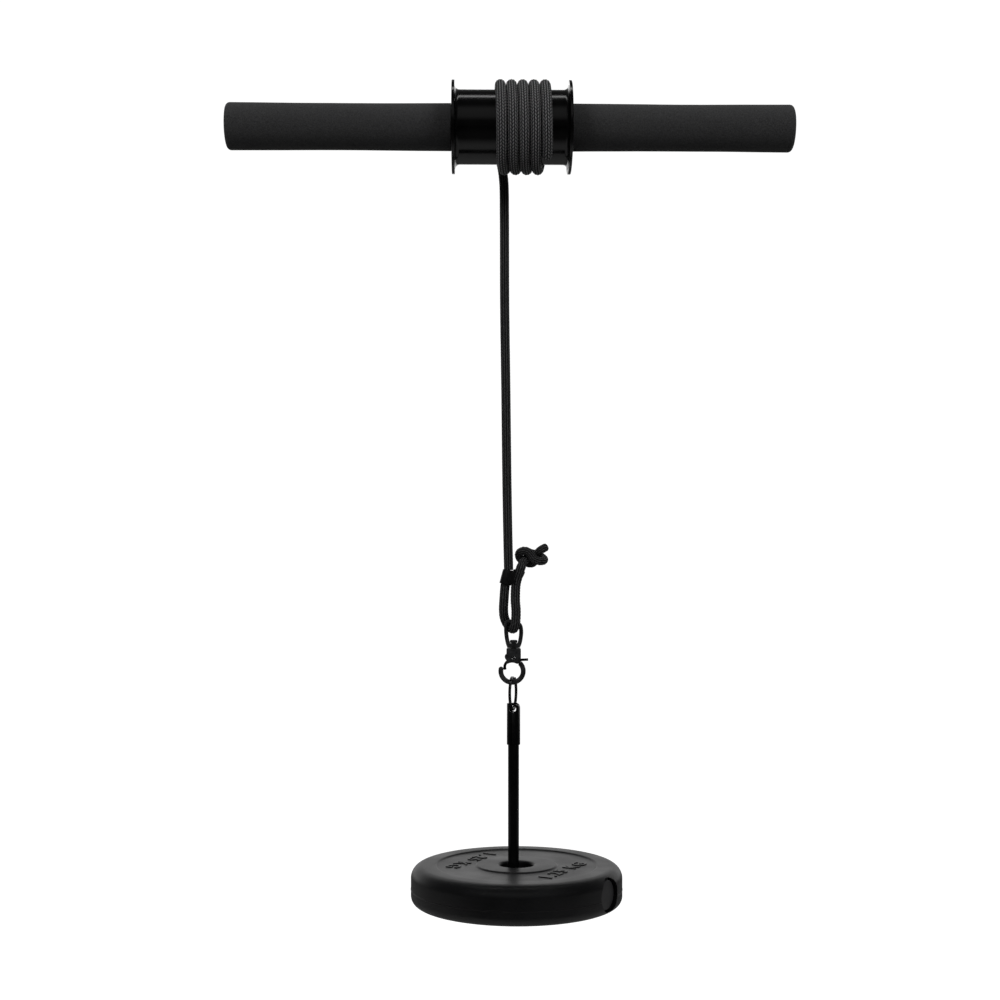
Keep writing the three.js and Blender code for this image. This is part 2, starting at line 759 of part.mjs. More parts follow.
function makeHook() {
  const body = sheet(blockShape(), blockDepth).translate(loopLine, hangY, blockTop);
  const headTop = eyeBaseTop + seatGap + postHeadThickness;
  const headRim = postHeadRadius - postHeadRound;
  const post = turned([
    [0, blockTop - blockChamfer],
    [postRadius, blockTop - blockChamfer],
    [postRadius, eyeBaseTop + seatGap],
    [postHeadRadius, eyeBaseTop + seatGap],
    ...corner(headRim, headTop - postHeadRound, postHeadRound, 0, 90, 3),
    [0, headTop],
  ], smallSides).translate(loopLine, hangY, 0);
  const tip = hookPlace(hookTipAngle, hookRadius);
  const ball = new THREE.SphereGeometry(hookWireRadius, wireSides, 8).translate(tip.x, tip.y, tip.z);
  const wire = tube(new HookArc(), hookWireRadius, stepsPerLoop);
  const eyeCut = new THREE.CylinderGeometry(1, 1, blockDepth + cutOverrun, plateSides);
  const eyeCutRadius = hookRadius - hookWireRadius;
  eyeCut.scale(eyeCutRadius, 1, eyeCutRadius).translate(hookX, hangY, hookEyeZ);
  const half = blockWidth / 2;
  const leverTop = pivotZ + half * Math.sin(radians(gateOpening));
  const leverFoot = pivotZ - leverDrop - leverThickness / 2 - seatGap;
  const gateFoot = blockTop - blockHeight - cutOverrun;
  const gateTop = pivotZ + triggerHubRadius + seatGap;
  const reachRight = triggerHubRadius + seatGap;
  const gateSlot = block(half + cutOverrun + reachRight, slotWidth, gateTop - gateFoot, point(
    loopLine + (reachRight - half - cutOverrun) / 2, hangY, (gateTop + gateFoot) / 2,
  ));
  const leverSlot = block(half + cutOverrun, slotWidth, leverTop - leverFoot, point(
    loopLine + (half + cutOverrun) / 2, hangY, (leverTop + leverFoot) / 2,
  ));
  const pocket = rod(springRadius + pinClearance, springRoom + 2 * seatGap + pinClearance);
  pocket.translate(loopLine + springOffset, hangY, springTop - springRoom / 2);
  const pivotHole = rod(pivotRadius + pinClearance, blockDepth + cutOverrun).rotateX(Math.PI / 2);
  pivotHole.translate(loopLine, hangY, pivotZ);
  const cutters = [eyeCut, gateSlot, leverSlot, pocket, pivotHole];
  const slotted = cutters.map(toSolid).reduce((rest, tool) => rest.subtract(tool), toSolid(body));
  place('hook_body', toGeometry(slotted.add(joined([post, wire, ball]))), finishes.casting);
}

// Trigger: gate finger, hub and thumb lever in one flat casting
const springRoom = springPitch * springTurns;
const springFoot = pivotZ + triggerHubRadius * springSeatShare + seatGap;
const springTop = springFoot + springRoom;

function makeTrigger() {
  const hub = rod(triggerHubRadius, triggerThickness).rotateX(Math.PI / 2);
  const shoulder = block(springOffset + springRadius, triggerThickness, triggerHubRadius, point(
    (springOffset + springRadius) / 2, 0, triggerHubRadius * shoulderRiseShare,
  ));
  const lever = block(leverReach, triggerThickness, leverThickness, point(leverReach / 2, 0, -leverDrop));
  const gateRoute = gateRouteShares.map(([x, z]) => point(
    x * hookRadius + hookX - loopLine, 0, z * hookRadius + hookEyeZ - pivotZ,
  ));
  const gateCurve = new THREE.CatmullRomCurve3(gateRoute, false, 'centripetal');
  const gate = tube(gateCurve, gateWidth / 2, 12, ropeSides);
  const bore = rod(pivotRadius + pinClearance, triggerThickness + cutOverrun).rotateX(Math.PI / 2);
  const solid = joined([hub, shoulder, lever, gate]).subtract(toSolid(bore));
  place('gate_trigger', toGeometry(solid).translate(loopLine, hangY, pivotZ), finishes.casting);
}

function makeGatePin() {
  const half = blockDepth / 2 + pivotProud;
  const profile = [
    [0, -half],
    [pivotRadius - pivotProud, -half],
    [pivotRadius, pivotProud - half],
    [pivotRadius, half - pivotProud],
    [pivotRadius - pivotProud, half],
    [0, half],
  ];
  const pin = turned(profile, smallSides).rotateX(Math.PI / 2).translate(loopLine, hangY, pivotZ);
  place('gate_pin', pin, finishes.steel);
}

function makeGateSpring() {
  const places = [];
  const steps = Math.round(springTurns * 8);
  for (let i = 0; i <= steps; i += 1) {
    const angle = (i / 8) * 2 * Math.PI;
    const across = springRadius - springWireRadius;
    const rise = springWireRadius + (springRoom - 2 * springWireRadius) * (i / steps);
    places.push(point(across * Math.cos(angle), across * Math.sin(angle), rise));
  }
  const stations = carried(places, point(1, 0, 0));
  const gap = leastSpacing(stations, 3 * springRadius) - 2 * springWireRadius;
  console.log('gate spring, least gap to itself:', gap.toFixed(2), 'mm');
  const spring = wound(stations, roundSection(springWireRadius, 5));
  place('gate_spring', spring.translate(loopLine + springOffset, hangY, springFoot), finishes.steel);
}

// Split ring: one flat strip in two turns
function makeSplitRing() {
  const stations = [];
  const steps = Math.round((2 - 2 * ringEndShare) * stepsPerLoop);
  const yaw = radians(ringYaw);
  const along = point(Math.sin(yaw), Math.cos(yaw), 0);
  const across = point(Math.cos(yaw), -Math.sin(yaw), 0);
  const middle = point(ringX, hangY, ringCentreZ);
  for (let i = 0; i <= steps; i += 1) {
    const turns = ringEndShare + (2 - 2 * ringEndShare) * (i / steps);
    const angle = turns * 2 * Math.PI;
    const outward = point(0, 0, 1).multiplyScalar(Math.sin(angle)).addScaledVector(along, Math.cos(angle));
    const shift = THREE.MathUtils.smoothstep(turns, 1 - ringEndShare, 1 + ringEndShare);
    const side = ringLeafPitch * (shift - 0.5);
    const station = middle.clone().addScaledVector(outward, ringMeanRadius).addScaledVector(across, side);
    stations.push({ place: station, outward, sideways: across });
  }
  const [deep, thin] = [ringDepth / 2, ringLeafThickness / 2];
  const section = [[-deep, -thin], [deep, -thin], [deep, thin], [-deep, thin]];
  const gap = leastSpacing(stations, ringMeanRadius) - ringLeafThickness;
  console.log('split ring, least gap to itself:', gap.toFixed(2), 'mm');
  place('split_ring', wound(stations, section), finishes.steel);
}

// Loading pin: a slit sleeve over the rod, cross-drilled for the ring
function makeSleeve() {
  const shape = new THREE.Shape();
  shape.moveTo(-sleeveRadius - cutOverrun, -sleeveLength - cutOverrun);
  shape.lineTo(sleeveRadius + cutOverrun, -sleeveLength - cutOverrun);
  shape.lineTo(sleeveRadius + cutOverrun, -sleeveLargeCorner - cutOverrun);
  shape.lineTo(sleeveRadius, -sleeveLargeCorner);
  const [large, small] = [sleeveLargeCorner, sleeveSmallCorner];
  shape.absarc(sleeveRadius - large, -large, large, 0, Math.PI / 2, false);
  shape.absarc(small - sleeveRadius, -small, small, Math.PI / 2, Math.PI, false);
  shape.lineTo(-sleeveRadius - cutOverrun, -sleeveSmallCorner - cutOverrun);
  shape.closePath();
  const outline = sheet(shape, 2 * sleeveRadius + cutOverrun).rotateZ(-radians(ringYaw));
  outline.translate(hangX, hangY, sleeveTop);
  const bore = rodRadius + pinClearance;
  const profile = [
    [bore, sleeveFoot],
    [sleeveRadius, sleeveFoot],
    [sleeveRadius, sleeveTop],
    [bore, sleeveTop],
  ];
  const wall = turned(profile, mediumSides).translate(hangX, hangY, 0);
  const hole = rod(sleeveHoleRadius, 2 * sleeveRadius + cutOverrun).rotateX(Math.PI / 2);
  hole.rotateZ(-radians(ringYaw)).translate(hangX, hangY, holeZ);
  const slit = block(sleeveSlit, sleeveRadius, sleeveLength + cutOverrun, point(0, -sleeveRadius, 0));
  slit.rotateZ(-radians(sleeveSlitAngle)).translate(hangX, hangY, (sleeveTop + sleeveFoot) / 2);
  const solid = toSolid(wall).intersect(toSolid(outline)).subtract(toSolid(hole)).subtract(toSolid(slit));
  place('pin_sleeve', toGeometry(solid), finishes.rod);
}

function makeRod() {
  const narrow = rodRadius - rodChamfer;
  const shoulder = rodTop - rodChamfer;
  const profile = [
    [0, baseFoot],
    [rodRadius, baseFoot],
    [rodRadius, shoulder],
    [narrow, rodTop],
    [0, rodTop],
  ];
  place('loading_rod', turned(profile, mediumSides).translate(hangX, hangY, 0), finishes.rod);
}

function makeBaseDisc() {
  const rim = baseDiscRadius - baseDiscChamfer;
  const hole = rodRadius + pinClearance;
  const profile = [
    [hole, baseFoot],
    [rim, baseFoot],
    [baseDiscRadius, baseFoot + baseDiscChamfer],
    [baseDiscRadius, baseTop - baseDiscChamfer],
    [rim, baseTop],
    [hole, baseTop],
  ];
  place('base_disc', turned(profile).translate(hangX, hangY, 0), finishes.rod);
}

// Weight plate, about its own axis with its middle at height zero
function faceOutline(round) {
  const half = plateThickness / 2;
  const sunk = half - recessDepth;
  return [
    [plateRadius, partingHalfWidth],
    ...corner(plateRadius - round, half - round, round, 0, 90, 4),
    [recessOuterRadius + recessWallRun, half],
    [recessOuterRadius, sunk],
    [recessInnerRadius, sunk],
    [recessInnerRadius - recessWallRun, half],
    ...corner(plateBoreRadius + plateBoreRound, half - plateBoreRound, plateBoreRound, 90, 180, 2),
  ];
}

function shellOutline() {
  const lower = faceOutline(plateFootRound).map(([radius, height]) => [radius, -height]).reverse();
  return [...lower, [plateRadius + partingRidge, 0], ...faceOutline(plateTopRound)];
}

function hollowOutline(inset) {
  const half = plateThickness / 2 - inset;
  const [inner, outer] = [plateBoreRadius + inset, plateRadius - inset];
  const [top, foot] = [plateTopRound - plateWall, plateFootRound - plateWall];
  return [
    [inner, -half],
    ...corner(outer - foot, foot - half, foot, -90, 0, 3),
    ...corner(outer - top, half - top, top, 0, 90, 3),
    [inner, half],
  ];
}

// A round tool on the plug's line, from one distance from the plate's axis to another
function plugTool(radius, from, to, sides = plugSides) {
  const tool = new THREE.CylinderGeometry(radius, radius, to - from, sides);
  return tool.translate(0, -(from + to) / 2, 0).rotateZ(radians(plugAzimuth));
}

const plugSeat = plateRadius - plugRecessDepth;
const plateCentre = point(plateX, hangY, plateMiddle);

function makePlate() {
  const reach = plateRadius + cutOverrun;
  const hollowEnd = plugSeat - plateWall;
  const hollow = toSolid(turned(hollowOutline(plateWall), mediumSides))
    .subtract(toSolid(plugTool(plugBossRadius, hollowEnd, reach)));
  const shell = toSolid(turned(shellOutline(), plateSides))
    .subtract(toSolid(plugTool(plugRecessRadius, plugSeat, reach)))
    .subtract(hollow)
    .subtract(toSolid(plugTool(plugStemRadius + pinClearance, hollowEnd - cutOverrun, reach)));
  const seat = (geometry) => geometry.translate(plateCentre.x, plateCentre.y, plateCentre.z);
  place('plate_shell', seat(toGeometry(shell)), finishes.shell);
  const fill = toSolid(turned(hollowOutline(plateWall + seatGap), mediumSides))
    .subtract(toSolid(plugTool(plugBossRadius + seatGap, hollowEnd - seatGap, reach, 24)));
  place('plate_fill', seat(toGeometry(fill)), finishes.cement);
}

function makePlug() {
  const back = plugSeat + seatGap;
  const face = back + plugDiscThickness;
  const stemEnd = plugSeat - plateWall + seatGap;
  const rim = plugRadius - plugEdgeRound;
  const profile = [
    [0, stemEnd],
    [plugStemRadius, stemEnd],
    [plugStemRadius, back],
    [plugRadius, back],
    ...corner(rim, face - plugEdgeRound, plugEdgeRound, 0, 90, 3),
    [0, face],
  ];
  const plug = turned(profile, plugSides).rotateX(Math.PI / 2).rotateZ(radians(plugAzimuth));
  place('filler_plug', plug.translate(plateCentre.x, plateCentre.y, plateCentre.z), finishes.plug);
}

makeBar();
makeGrip('grip_left', -1);
makeGrip('grip_right', 1);
makeBarrel();
makeFlange('drum_flange_left', -1);
makeFlange('drum_flange_right', 1);
makeSpringPin('flange_pin_left', -1);
makeSpringPin('flange_pin_right', 1);
makeWinding();
makeAnchorKnot();
makeDrop();
makeLoop();
makeCrimp();
makeKnot();
makeEye();
makeHook();
makeTrigger();
makeGatePin();
makeGateSpring();
makeSplitRing();
makeSleeve();
makeRod();
makeBaseDisc();
makePlate();
makePlug();

export default part;
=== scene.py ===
import bpy
import math
import numpy as np
from mathutils import Matrix, Vector


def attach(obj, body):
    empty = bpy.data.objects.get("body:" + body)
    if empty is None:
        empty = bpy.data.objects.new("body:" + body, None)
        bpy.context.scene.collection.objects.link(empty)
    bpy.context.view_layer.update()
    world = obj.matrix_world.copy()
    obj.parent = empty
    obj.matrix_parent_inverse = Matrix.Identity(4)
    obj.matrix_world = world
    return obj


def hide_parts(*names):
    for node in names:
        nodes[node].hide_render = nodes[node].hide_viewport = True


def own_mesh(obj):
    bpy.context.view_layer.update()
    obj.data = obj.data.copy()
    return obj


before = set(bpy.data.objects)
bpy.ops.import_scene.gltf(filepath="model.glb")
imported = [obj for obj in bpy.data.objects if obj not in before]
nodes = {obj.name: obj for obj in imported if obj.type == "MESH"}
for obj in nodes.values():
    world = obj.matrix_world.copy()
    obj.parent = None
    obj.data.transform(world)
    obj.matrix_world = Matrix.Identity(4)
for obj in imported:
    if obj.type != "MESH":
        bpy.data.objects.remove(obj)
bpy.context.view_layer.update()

mm = 0.001

# Places shared with the frame, in millimetres
HANG_Y = WIND_RADIUS = 30.404
LOOP_X, HANG_X, RING_X, HOOK_X = 2.4, 2.3, 1.8, 1.2
CRIMP_TOP, CRIMP_FOOT = -327.6, -338.0
EYE_BAR_TOP, EYE_BASE_TOP = -365.0, -382.7
BLOCK_TOP, PIVOT_Z, HOOK_EYE_Z = -386.4, -393.9, -403.9
RING_Z, HOLE_Z = -420.85, -432.208
SLEEVE_TOP, SLEEVE_FOOT, ROD_TOP = -428.258, -459.558, -435.208
PLATE = Vector((4.6, HANG_Y, -564.908))
BASE_TOP, BASE_FOOT = -579.958, -583.958
ANCHOR_TURN = math.radians(-60)
RING_YAW = math.radians(12)


# ---- Shader nodes

def put(socket, value, tree):
    if hasattr(value, "is_output"):
        tree.links.new(value, socket)
    else:
        socket.default_value = value


def maths(tree, operation, a, b=0.0, c=0.0):
    node = tree.nodes.new('ShaderNodeMath')
    node.operation = operation
    for socket, value in zip(node.inputs, (a, b, c)):
        put(socket, value, tree)
    return node.outputs[0]


def ramped(tree, value, stops):
    """A brightness that follows a value through straight steps between the given stops"""
    ramp = tree.nodes.new('ShaderNodeValToRGB')
    tree.links.new(value, ramp.inputs['Fac'])
    marks = ramp.color_ramp.elements
    while len(marks) < len(stops):
        marks.new(0.5)
    for mark, (place, level) in zip(marks, stops):
        mark.position = place
    for mark, (place, level) in zip(marks, stops):
        mark.color = (level, level, level, 1)
    return ramp.outputs['Color']


# ---- Camera, floor and light

CAMERA_PLACE = (-26.4, -1144.54, -312.4)
CAMERA_YAW = -0.9
LENS, LENS_RISE = 55.8, 0.05045
FLOOR_HEIGHT = -0.92
ROOM_LEVEL, BACKDROP_LEVEL = 0.025, 1.05


def add_camera():
    data = bpy.data.cameras.new("camera")
    data.sensor_fit = 'HORIZONTAL'
    data.sensor_width = 36
    data.lens = LENS
    data.shift_y = LENS_RISE
    data.clip_start = 0.01
    data.clip_end = 60
    camera = bpy.data.objects.new("camera", data)
    camera.location = [v * mm for v in CAMERA_PLACE]
    camera.rotation_euler = (math.pi / 2, 0, math.radians(CAMERA_YAW))
    bpy.context.scene.collection.objects.link(camera)
    bpy.context.scene.camera = camera


def add_lamp(name, place, towards, width, depth, power, mirrored=True):
    data = bpy.data.lights.new(name, 'AREA')
    data.shape = 'RECTANGLE'
    data.size = width
    data.size_y = depth
    data.energy = power
    lamp = bpy.data.objects.new(name, data)
    lamp.location = place
    lamp.rotation_euler = (Vector(towards) - Vector(place)).to_track_quat('-Z', 'Y').to_euler()
    lamp.visible_glossy = mirrored
    lamp.visible_camera = False
    bpy.context.scene.collection.objects.link(lamp)


def add_world():
    """A dark room with a low white backdrop behind and a dim panel high in front"""
    world = bpy.data.worlds.new("studio")
    world.use_nodes = True
    bpy.context.scene.world = world
    tree = world.node_tree
    tree.nodes.clear()
    direction = tree.nodes.new('ShaderNodeTexCoord')
    parts = tree.nodes.new('ShaderNodeSeparateXYZ')
    tree.links.new(direction.outputs['Generated'], parts.inputs[0])
    depth = maths(tree, 'MULTIPLY_ADD', parts.outputs['Y'], 0.5, 0.5)
    height = maths(tree, 'MULTIPLY_ADD', parts.outputs['Z'], 0.5, 0.5)
    behind = ramped(tree, depth, ((0.5, 0.0), (0.66, 0.06), (0.8, 0.4), (0.9, 1.0)))
    low = ramped(tree, height, ((0.56, 1.0), (0.68, 0.75), (0.8, 0.14), (1.0, 0.05)))
    before = ramped(tree, depth, ((0.1, 1.0), (0.35, 0.0)))
    panel = ramped(tree, height, ((0.56, 0.0), (0.66, 0.2), (0.86, 0.26), (0.93, 0.0)))
    total = maths(tree, 'ADD', maths(tree, 'MULTIPLY', behind, low), maths(tree, 'MULTIPLY', before, panel))
    room = tree.nodes.new('ShaderNodeBackground')
    tree.links.new(maths(tree, 'ADD', total, ROOM_LEVEL), room.inputs['Strength'])
    white = tree.nodes.new('ShaderNodeBackground')
    white.inputs['Color'].default_value = (1, 1, 1, 1)
    white.inputs['Strength'].default_value = BACKDROP_LEVEL
    path = tree.nodes.new('ShaderNodeLightPath')
    mix = tree.nodes.new('ShaderNodeMixShader')
    out = tree.nodes.new('ShaderNodeOutputWorld')
    tree.links.new(path.outputs['Is Camera Ray'], mix.inputs['Fac'])
    tree.links.new(room.outputs[0], mix.inputs[1])
    tree.links.new(white.outputs[0], mix.inputs[2])
    tree.links.new(mix.outputs[0], out.inputs['Surface'])


def add_floor():
    bpy.ops.mesh.primitive_plane_add(size=16, location=(0, 2.5, FLOOR_HEIGHT))
    floor = bpy.context.object
    floor.name = "studio_floor"
    paper = bpy.data.materials.new("studio_paper")
    paper.use_nodes = True
    tree = paper.node_tree
    tree.nodes.clear()
    place = tree.nodes.new('ShaderNodeTexCoord')
    parts = tree.nodes.new('ShaderNodeSeparateXYZ')
    tree.links.new(place.outputs['Generated'], parts.inputs[0])
    diffuse = tree.nodes.new('ShaderNodeBsdfDiffuse')
    # The paper ends in front of the object: the room's floor is dark from there on
    paper_end = ramped(tree, parts.outputs['Y'], ((0.296, 0.06), (0.324, 0.5)))
    tree.links.new(paper_end, diffuse.inputs['Color'])
    glow = tree.nodes.new('ShaderNodeEmission')
    path = tree.nodes.new('ShaderNodeLightPath')
    # Seen directly, the paper is about as bright as the backdrop and a little darker near the front
    paper_level = ramped(tree, parts.outputs['Y'], ((0.37, 0.8), (0.41, 1.0)))
    level = maths(tree, 'MULTIPLY', path.outputs['Is Camera Ray'], paper_level)
    both = tree.nodes.new('ShaderNodeAddShader')
    out = tree.nodes.new('ShaderNodeOutputMaterial')
    tree.links.new(level, glow.inputs['Strength'])
    tree.links.new(diffuse.outputs[0], both.inputs[0])
    tree.links.new(glow.outputs[0], both.inputs[1])
    tree.links.new(both.outputs[0], out.inputs['Surface'])
    floor.data.materials.append(paper)


add_camera()
add_world()
add_floor()
add_lamp("top_strip", (0, 0.05, 1.2), (0, 0, 0), 1.6, 0.17, 2.5)
add_lamp("back_strip", (0, 1.0, 0.35), (0, 0, -0.55), 1.2, 0.3, 1.1)
for side_name, side in (("left_soft_box", -1), ("right_soft_box", 1)):
    add_lamp(side_name, (side * 1.19, -1.19, 0.78), (0, 0, -0.2), 0.8, 0.8, 17.0, mirrored=False)
bpy.context.scene.view_settings.view_transform = 'Standard'


# ---- Materials

# The strands' slant and fullness, shared by the rope's relief and its colour
STRAND_SLANT, STRAND_FULLNESS = 0.9, 0.6


def new_group(name, inputs, outputs):
    group = bpy.data.node_groups.new(name, 'ShaderNodeTree')
    for title, kind, value in inputs:
        socket = group.interface.new_socket(title, in_out='INPUT', socket_type=kind)
        if value is not None:
            socket.default_value = value
    for title, kind in outputs:
        group.interface.new_socket(title, in_out='OUTPUT', socket_type=kind)
    return group, group.nodes.new('NodeGroupInput'), group.nodes.new('NodeGroupOutput')


def noise(tree, vector, scale, detail=3.0, roughness=0.5):
    node = tree.nodes.new('ShaderNodeTexNoise')
    put(node.inputs['Vector'], vector, tree)
    put(node.inputs['Scale'], scale, tree)
    node.inputs['Detail'].default_value = detail
    node.inputs['Roughness'].default_value = roughness
    return node.outputs['Fac']


def spread(tree, value, low, high, to_low, to_high):
    node = tree.nodes.new('ShaderNodeMapRange')
    node.inputs['From Min'].default_value = low
    node.inputs['From Max'].default_value = high
    put(node.inputs['Value'], value, tree)
    put(node.inputs['To Min'], to_low, tree)
    put(node.inputs['To Max'], to_high, tree)
    return node.outputs['Result']


def blended(tree, share, first, second):
    node = tree.nodes.new('ShaderNodeMix')
    node.data_type = 'RGBA'
    put(node.inputs['Factor'], share, tree)
    put(node.inputs['A'], first, tree)
    put(node.inputs['B'], second, tree)
    return node.outputs['Result']


def grain_group():
    """Fine grain with slow mottling: height of the grain, and two shares that change over the surface"""
    group, given, out = new_group("surface_grain", [
        ("Vector", 'NodeSocketVector', None),
        ("Grain", 'NodeSocketFloat', 900.0),
        ("Mottle", 'NodeSocketFloat', 60.0),
    ], [("Height", 'NodeSocketFloat'), ("Speck", 'NodeSocketFloat'), ("Cloud", 'NodeSocketFloat')])
    vector = given.outputs['Vector']
    fine = noise(group, vector, given.outputs['Grain'], 2.0, 0.6)
    coarse = noise(group, vector, maths(group, 'MULTIPLY', given.outputs['Grain'], 0.3), 2.0, 0.6)
    cloud = noise(group, vector, given.outputs['Mottle'], 3.0, 0.55)
    group.links.new(maths(group, 'ADD', fine, maths(group, 'MULTIPLY', coarse, 0.6)), out.inputs['Height'])
    group.links.new(spread(group, fine, 0.35, 0.65, 0.0, 1.0), out.inputs['Speck'])
    group.links.new(spread(group, cloud, 0.3, 0.7, 0.0, 1.0), out.inputs['Cloud'])
    return group


def braid_group():
    """Plaited strands on a rope's own map: across in columns, along in rows"""
    group, given, out = new_group("plaited_strands", [
        ("UV", 'NodeSocketVector', None),
        ("Fibres", 'NodeSocketFloat', 5.0),
    ], [("Height", 'NodeSocketFloat'), ("Crown", 'NodeSocketFloat'), ("Fibre", 'NodeSocketFloat'),
        ("Column", 'NodeSocketFloat')])
    parts = group.nodes.new('ShaderNodeSeparateXYZ')
    group.links.new(given.outputs['UV'], parts.inputs[0])
    across, along = parts.outputs['X'], parts.outputs['Y']
    share = maths(group, 'FRACT', across)
    parity = maths(group, 'MODULO', maths(group, 'FLOOR', across), 2.0)
    lean = maths(group, 'MULTIPLY_ADD', parity, 2.0, -1.0)
    slant = maths(group, 'MULTIPLY_ADD', share, STRAND_SLANT, -STRAND_SLANT / 2)
    slanted = maths(group, 'MULTIPLY', lean, slant)
    row = maths(group, 'ADD', maths(group, 'ADD', along, slanted), maths(group, 'MULTIPLY', parity, 0.5))
    side = maths(group, 'SINE', maths(group, 'MULTIPLY', share, math.pi))
    side = maths(group, 'POWER', side, STRAND_FULLNESS)
    end = maths(group, 'ABSOLUTE', maths(group, 'SINE', maths(group, 'MULTIPLY', row, math.pi)))
    crown = maths(group, 'MULTIPLY', side, maths(group, 'POWER', end, STRAND_FULLNESS))
    turns = maths(group, 'MULTIPLY', maths(group, 'MULTIPLY', row, given.outputs['Fibres']), 2 * math.pi)
    fibre = maths(group, 'MULTIPLY_ADD', maths(group, 'SINE', turns), 0.5, 0.5)
    height = maths(group, 'ADD', crown, maths(group, 'MULTIPLY', fibre, 0.16))
    group.links.new(height, out.inputs['Height'])
    group.links.new(crown, out.inputs['Crown'])
    group.links.new(fibre, out.inputs['Fibre'])
    group.links.new(side, out.inputs['Column'])
    return group


grain = grain_group()
braid = braid_group()


def new_material(name, colour, metallic=0.0, specular=0.5, sheen=0.0):
    material = bpy.data.materials.new(name)
    material.use_nodes = True
    shader = material.node_tree.nodes['Principled BSDF']
    shader.inputs['Base Color'].default_value = (*colour, 1)
    shader.inputs['Metallic'].default_value = metallic
    shader.inputs['Specular IOR Level'].default_value = specular
    shader.inputs['Sheen Weight'].default_value = sheen
    return material, material.node_tree, shader


def grained(name, dark, light, rough, grain_scale, mottle, bump, depth=0.0001, share='Speck', **finish):
    """A finish whose colour, roughness and relief follow the shared grain"""
    material, tree, shader = new_material(name, dark, **finish)
    place = tree.nodes.new('ShaderNodeTexCoord')
    pattern = tree.nodes.new('ShaderNodeGroup')
    pattern.node_tree = grain
    pattern.inputs['Grain'].default_value = grain_scale
    pattern.inputs['Mottle'].default_value = mottle
    tree.links.new(place.outputs['Object'], pattern.inputs['Vector'])
    colour = blended(tree, pattern.outputs[share], (*dark, 1), (*light, 1))
    tree.links.new(colour, shader.inputs['Base Color'])
    level = spread(tree, pattern.outputs['Cloud'], 0.0, 1.0, rough[0], rough[1])
    tree.links.new(level, shader.inputs['Roughness'])
    relief = tree.nodes.new('ShaderNodeBump')
    relief.inputs['Strength'].default_value = bump
    relief.inputs['Distance'].default_value = depth
    tree.links.new(pattern.outputs['Height'], relief.inputs['Height'])
    tree.links.new(relief.outputs['Normal'], shader.inputs['Normal'])
    return material


def rope_material(name, valley, crown, streaks):
    """Plaited fibre: dark valleys and light crowns, run together into lengthwise streaks where it is taut.
    The braid pattern is the rope's own; the near-black valleys are painted shade and the light crowns painted
    sheen
    """
    material, tree, shader = new_material(name, (crown, crown, crown), specular=0.35, sheen=0.04)
    place = tree.nodes.new('ShaderNodeTexCoord')
    strands = tree.nodes.new('ShaderNodeGroup')
    strands.node_tree = braid
    tree.links.new(place.outputs['UV'], strands.inputs['UV'])
    dots = spread(tree, strands.outputs['Crown'], 0.5, 0.97, 0.0, 1.0)
    lines = spread(tree, strands.outputs['Column'], 0.5, 0.98, 0.0, 1.0)
    dots = maths(tree, 'MULTIPLY', dots, 1.0 - streaks)
    lines = maths(tree, 'MULTIPLY', lines, streaks)
    lit = maths(tree, 'ADD', dots, lines)
    # Blending from valley to crown colour paints shade into the valleys and sheen onto the crowns
    base = blended(tree, lit, (valley, valley, valley * 1.05, 1), (crown, crown, crown * 1.02, 1))
    # Painted shade between the fibres, darkening towards the valley colour
    shade_between_fibres = maths(tree, 'MULTIPLY', strands.outputs['Fibre'], 0.3)
    colour = blended(tree, shade_between_fibres, base, (valley, valley, valley, 1))
    tree.links.new(colour, shader.inputs['Base Color'])
    tree.links.new(spread(tree, lit, 0, 1, 0.85, 0.42), shader.inputs['Roughness'])
    relief = tree.nodes.new('ShaderNodeBump')
    relief.inputs['Strength'].default_value = 1.0
    relief.inputs['Distance'].default_value = 0.0006
    tree.links.new(strands.outputs['Height'], relief.inputs['Height'])
    tree.links.new(relief.outputs['Normal'], shader.inputs['Normal'])
    return material


foam = grained(
    "closed_cell_foam", dark=(0.020, 0.020, 0.0205), light=(0.042, 0.042, 0.043), rough=(0.82, 0.95),
    grain_scale=1500, mottle=40, bump=0.7, depth=0.00025, specular=0.25, sheen=0.1)
drum_gloss = grained(
    "drum_gloss_black", dark=(0.0010, 0.0010, 0.0011), light=(0.0018, 0.0018, 0.0019), rough=(0.13, 0.19),
    grain_scale=700, mottle=45, bump=0.05, depth=0.00003, share='Cloud')
plate_satin = grained(
    "plate_satin_plastic", dark=(0.0035, 0.0035, 0.0038), light=(0.0058, 0.0058, 0.0063), rough=(0.34, 0.44),
    grain_scale=1300, mottle=28, bump=0.35, depth=0.00008, share='Cloud', specular=0.45)
plug_plastic = grained(
    "plug_smooth_plastic", dark=(0.016, 0.016, 0.017), light=(0.022, 0.022, 0.023), rough=(0.34, 0.42),
    grain_scale=1600, mottle=60, bump=0.2, depth=0.00005, share='Cloud')
coated_steel = grained(
    "pin_black_coating", dark=(0.0010, 0.0010, 0.0011), light=(0.0022, 0.0022, 0.0023), rough=(0.14, 0.24),
    grain_scale=800, mottle=90, bump=0.15, depth=0.00005, share='Cloud')
clip_metal = grained(
    "clip_dark_metal", dark=(0.004, 0.004, 0.0042), light=(0.012, 0.012, 0.0122), rough=(0.25, 0.4),
    grain_scale=900, mottle=150, bump=0.3, depth=0.00008, share='Cloud', metallic=0.3)
casting = grained(
    "hook_dark_plating", dark=(0.018, 0.018, 0.019), light=(0.062, 0.062, 0.064), rough=(0.3, 0.46),
    grain_scale=900, mottle=220, bump=0.35, depth=0.00006, share='Cloud', metallic=0.55)
trigger_plating = grained(
    "trigger_dark_plating", dark=(0.022, 0.022, 0.023), light=(0.05, 0.05, 0.052), rough=(0.3, 0.44),
    grain_scale=900, mottle=220, bump=0.35, depth=0.00006, share='Cloud', metallic=1.0)
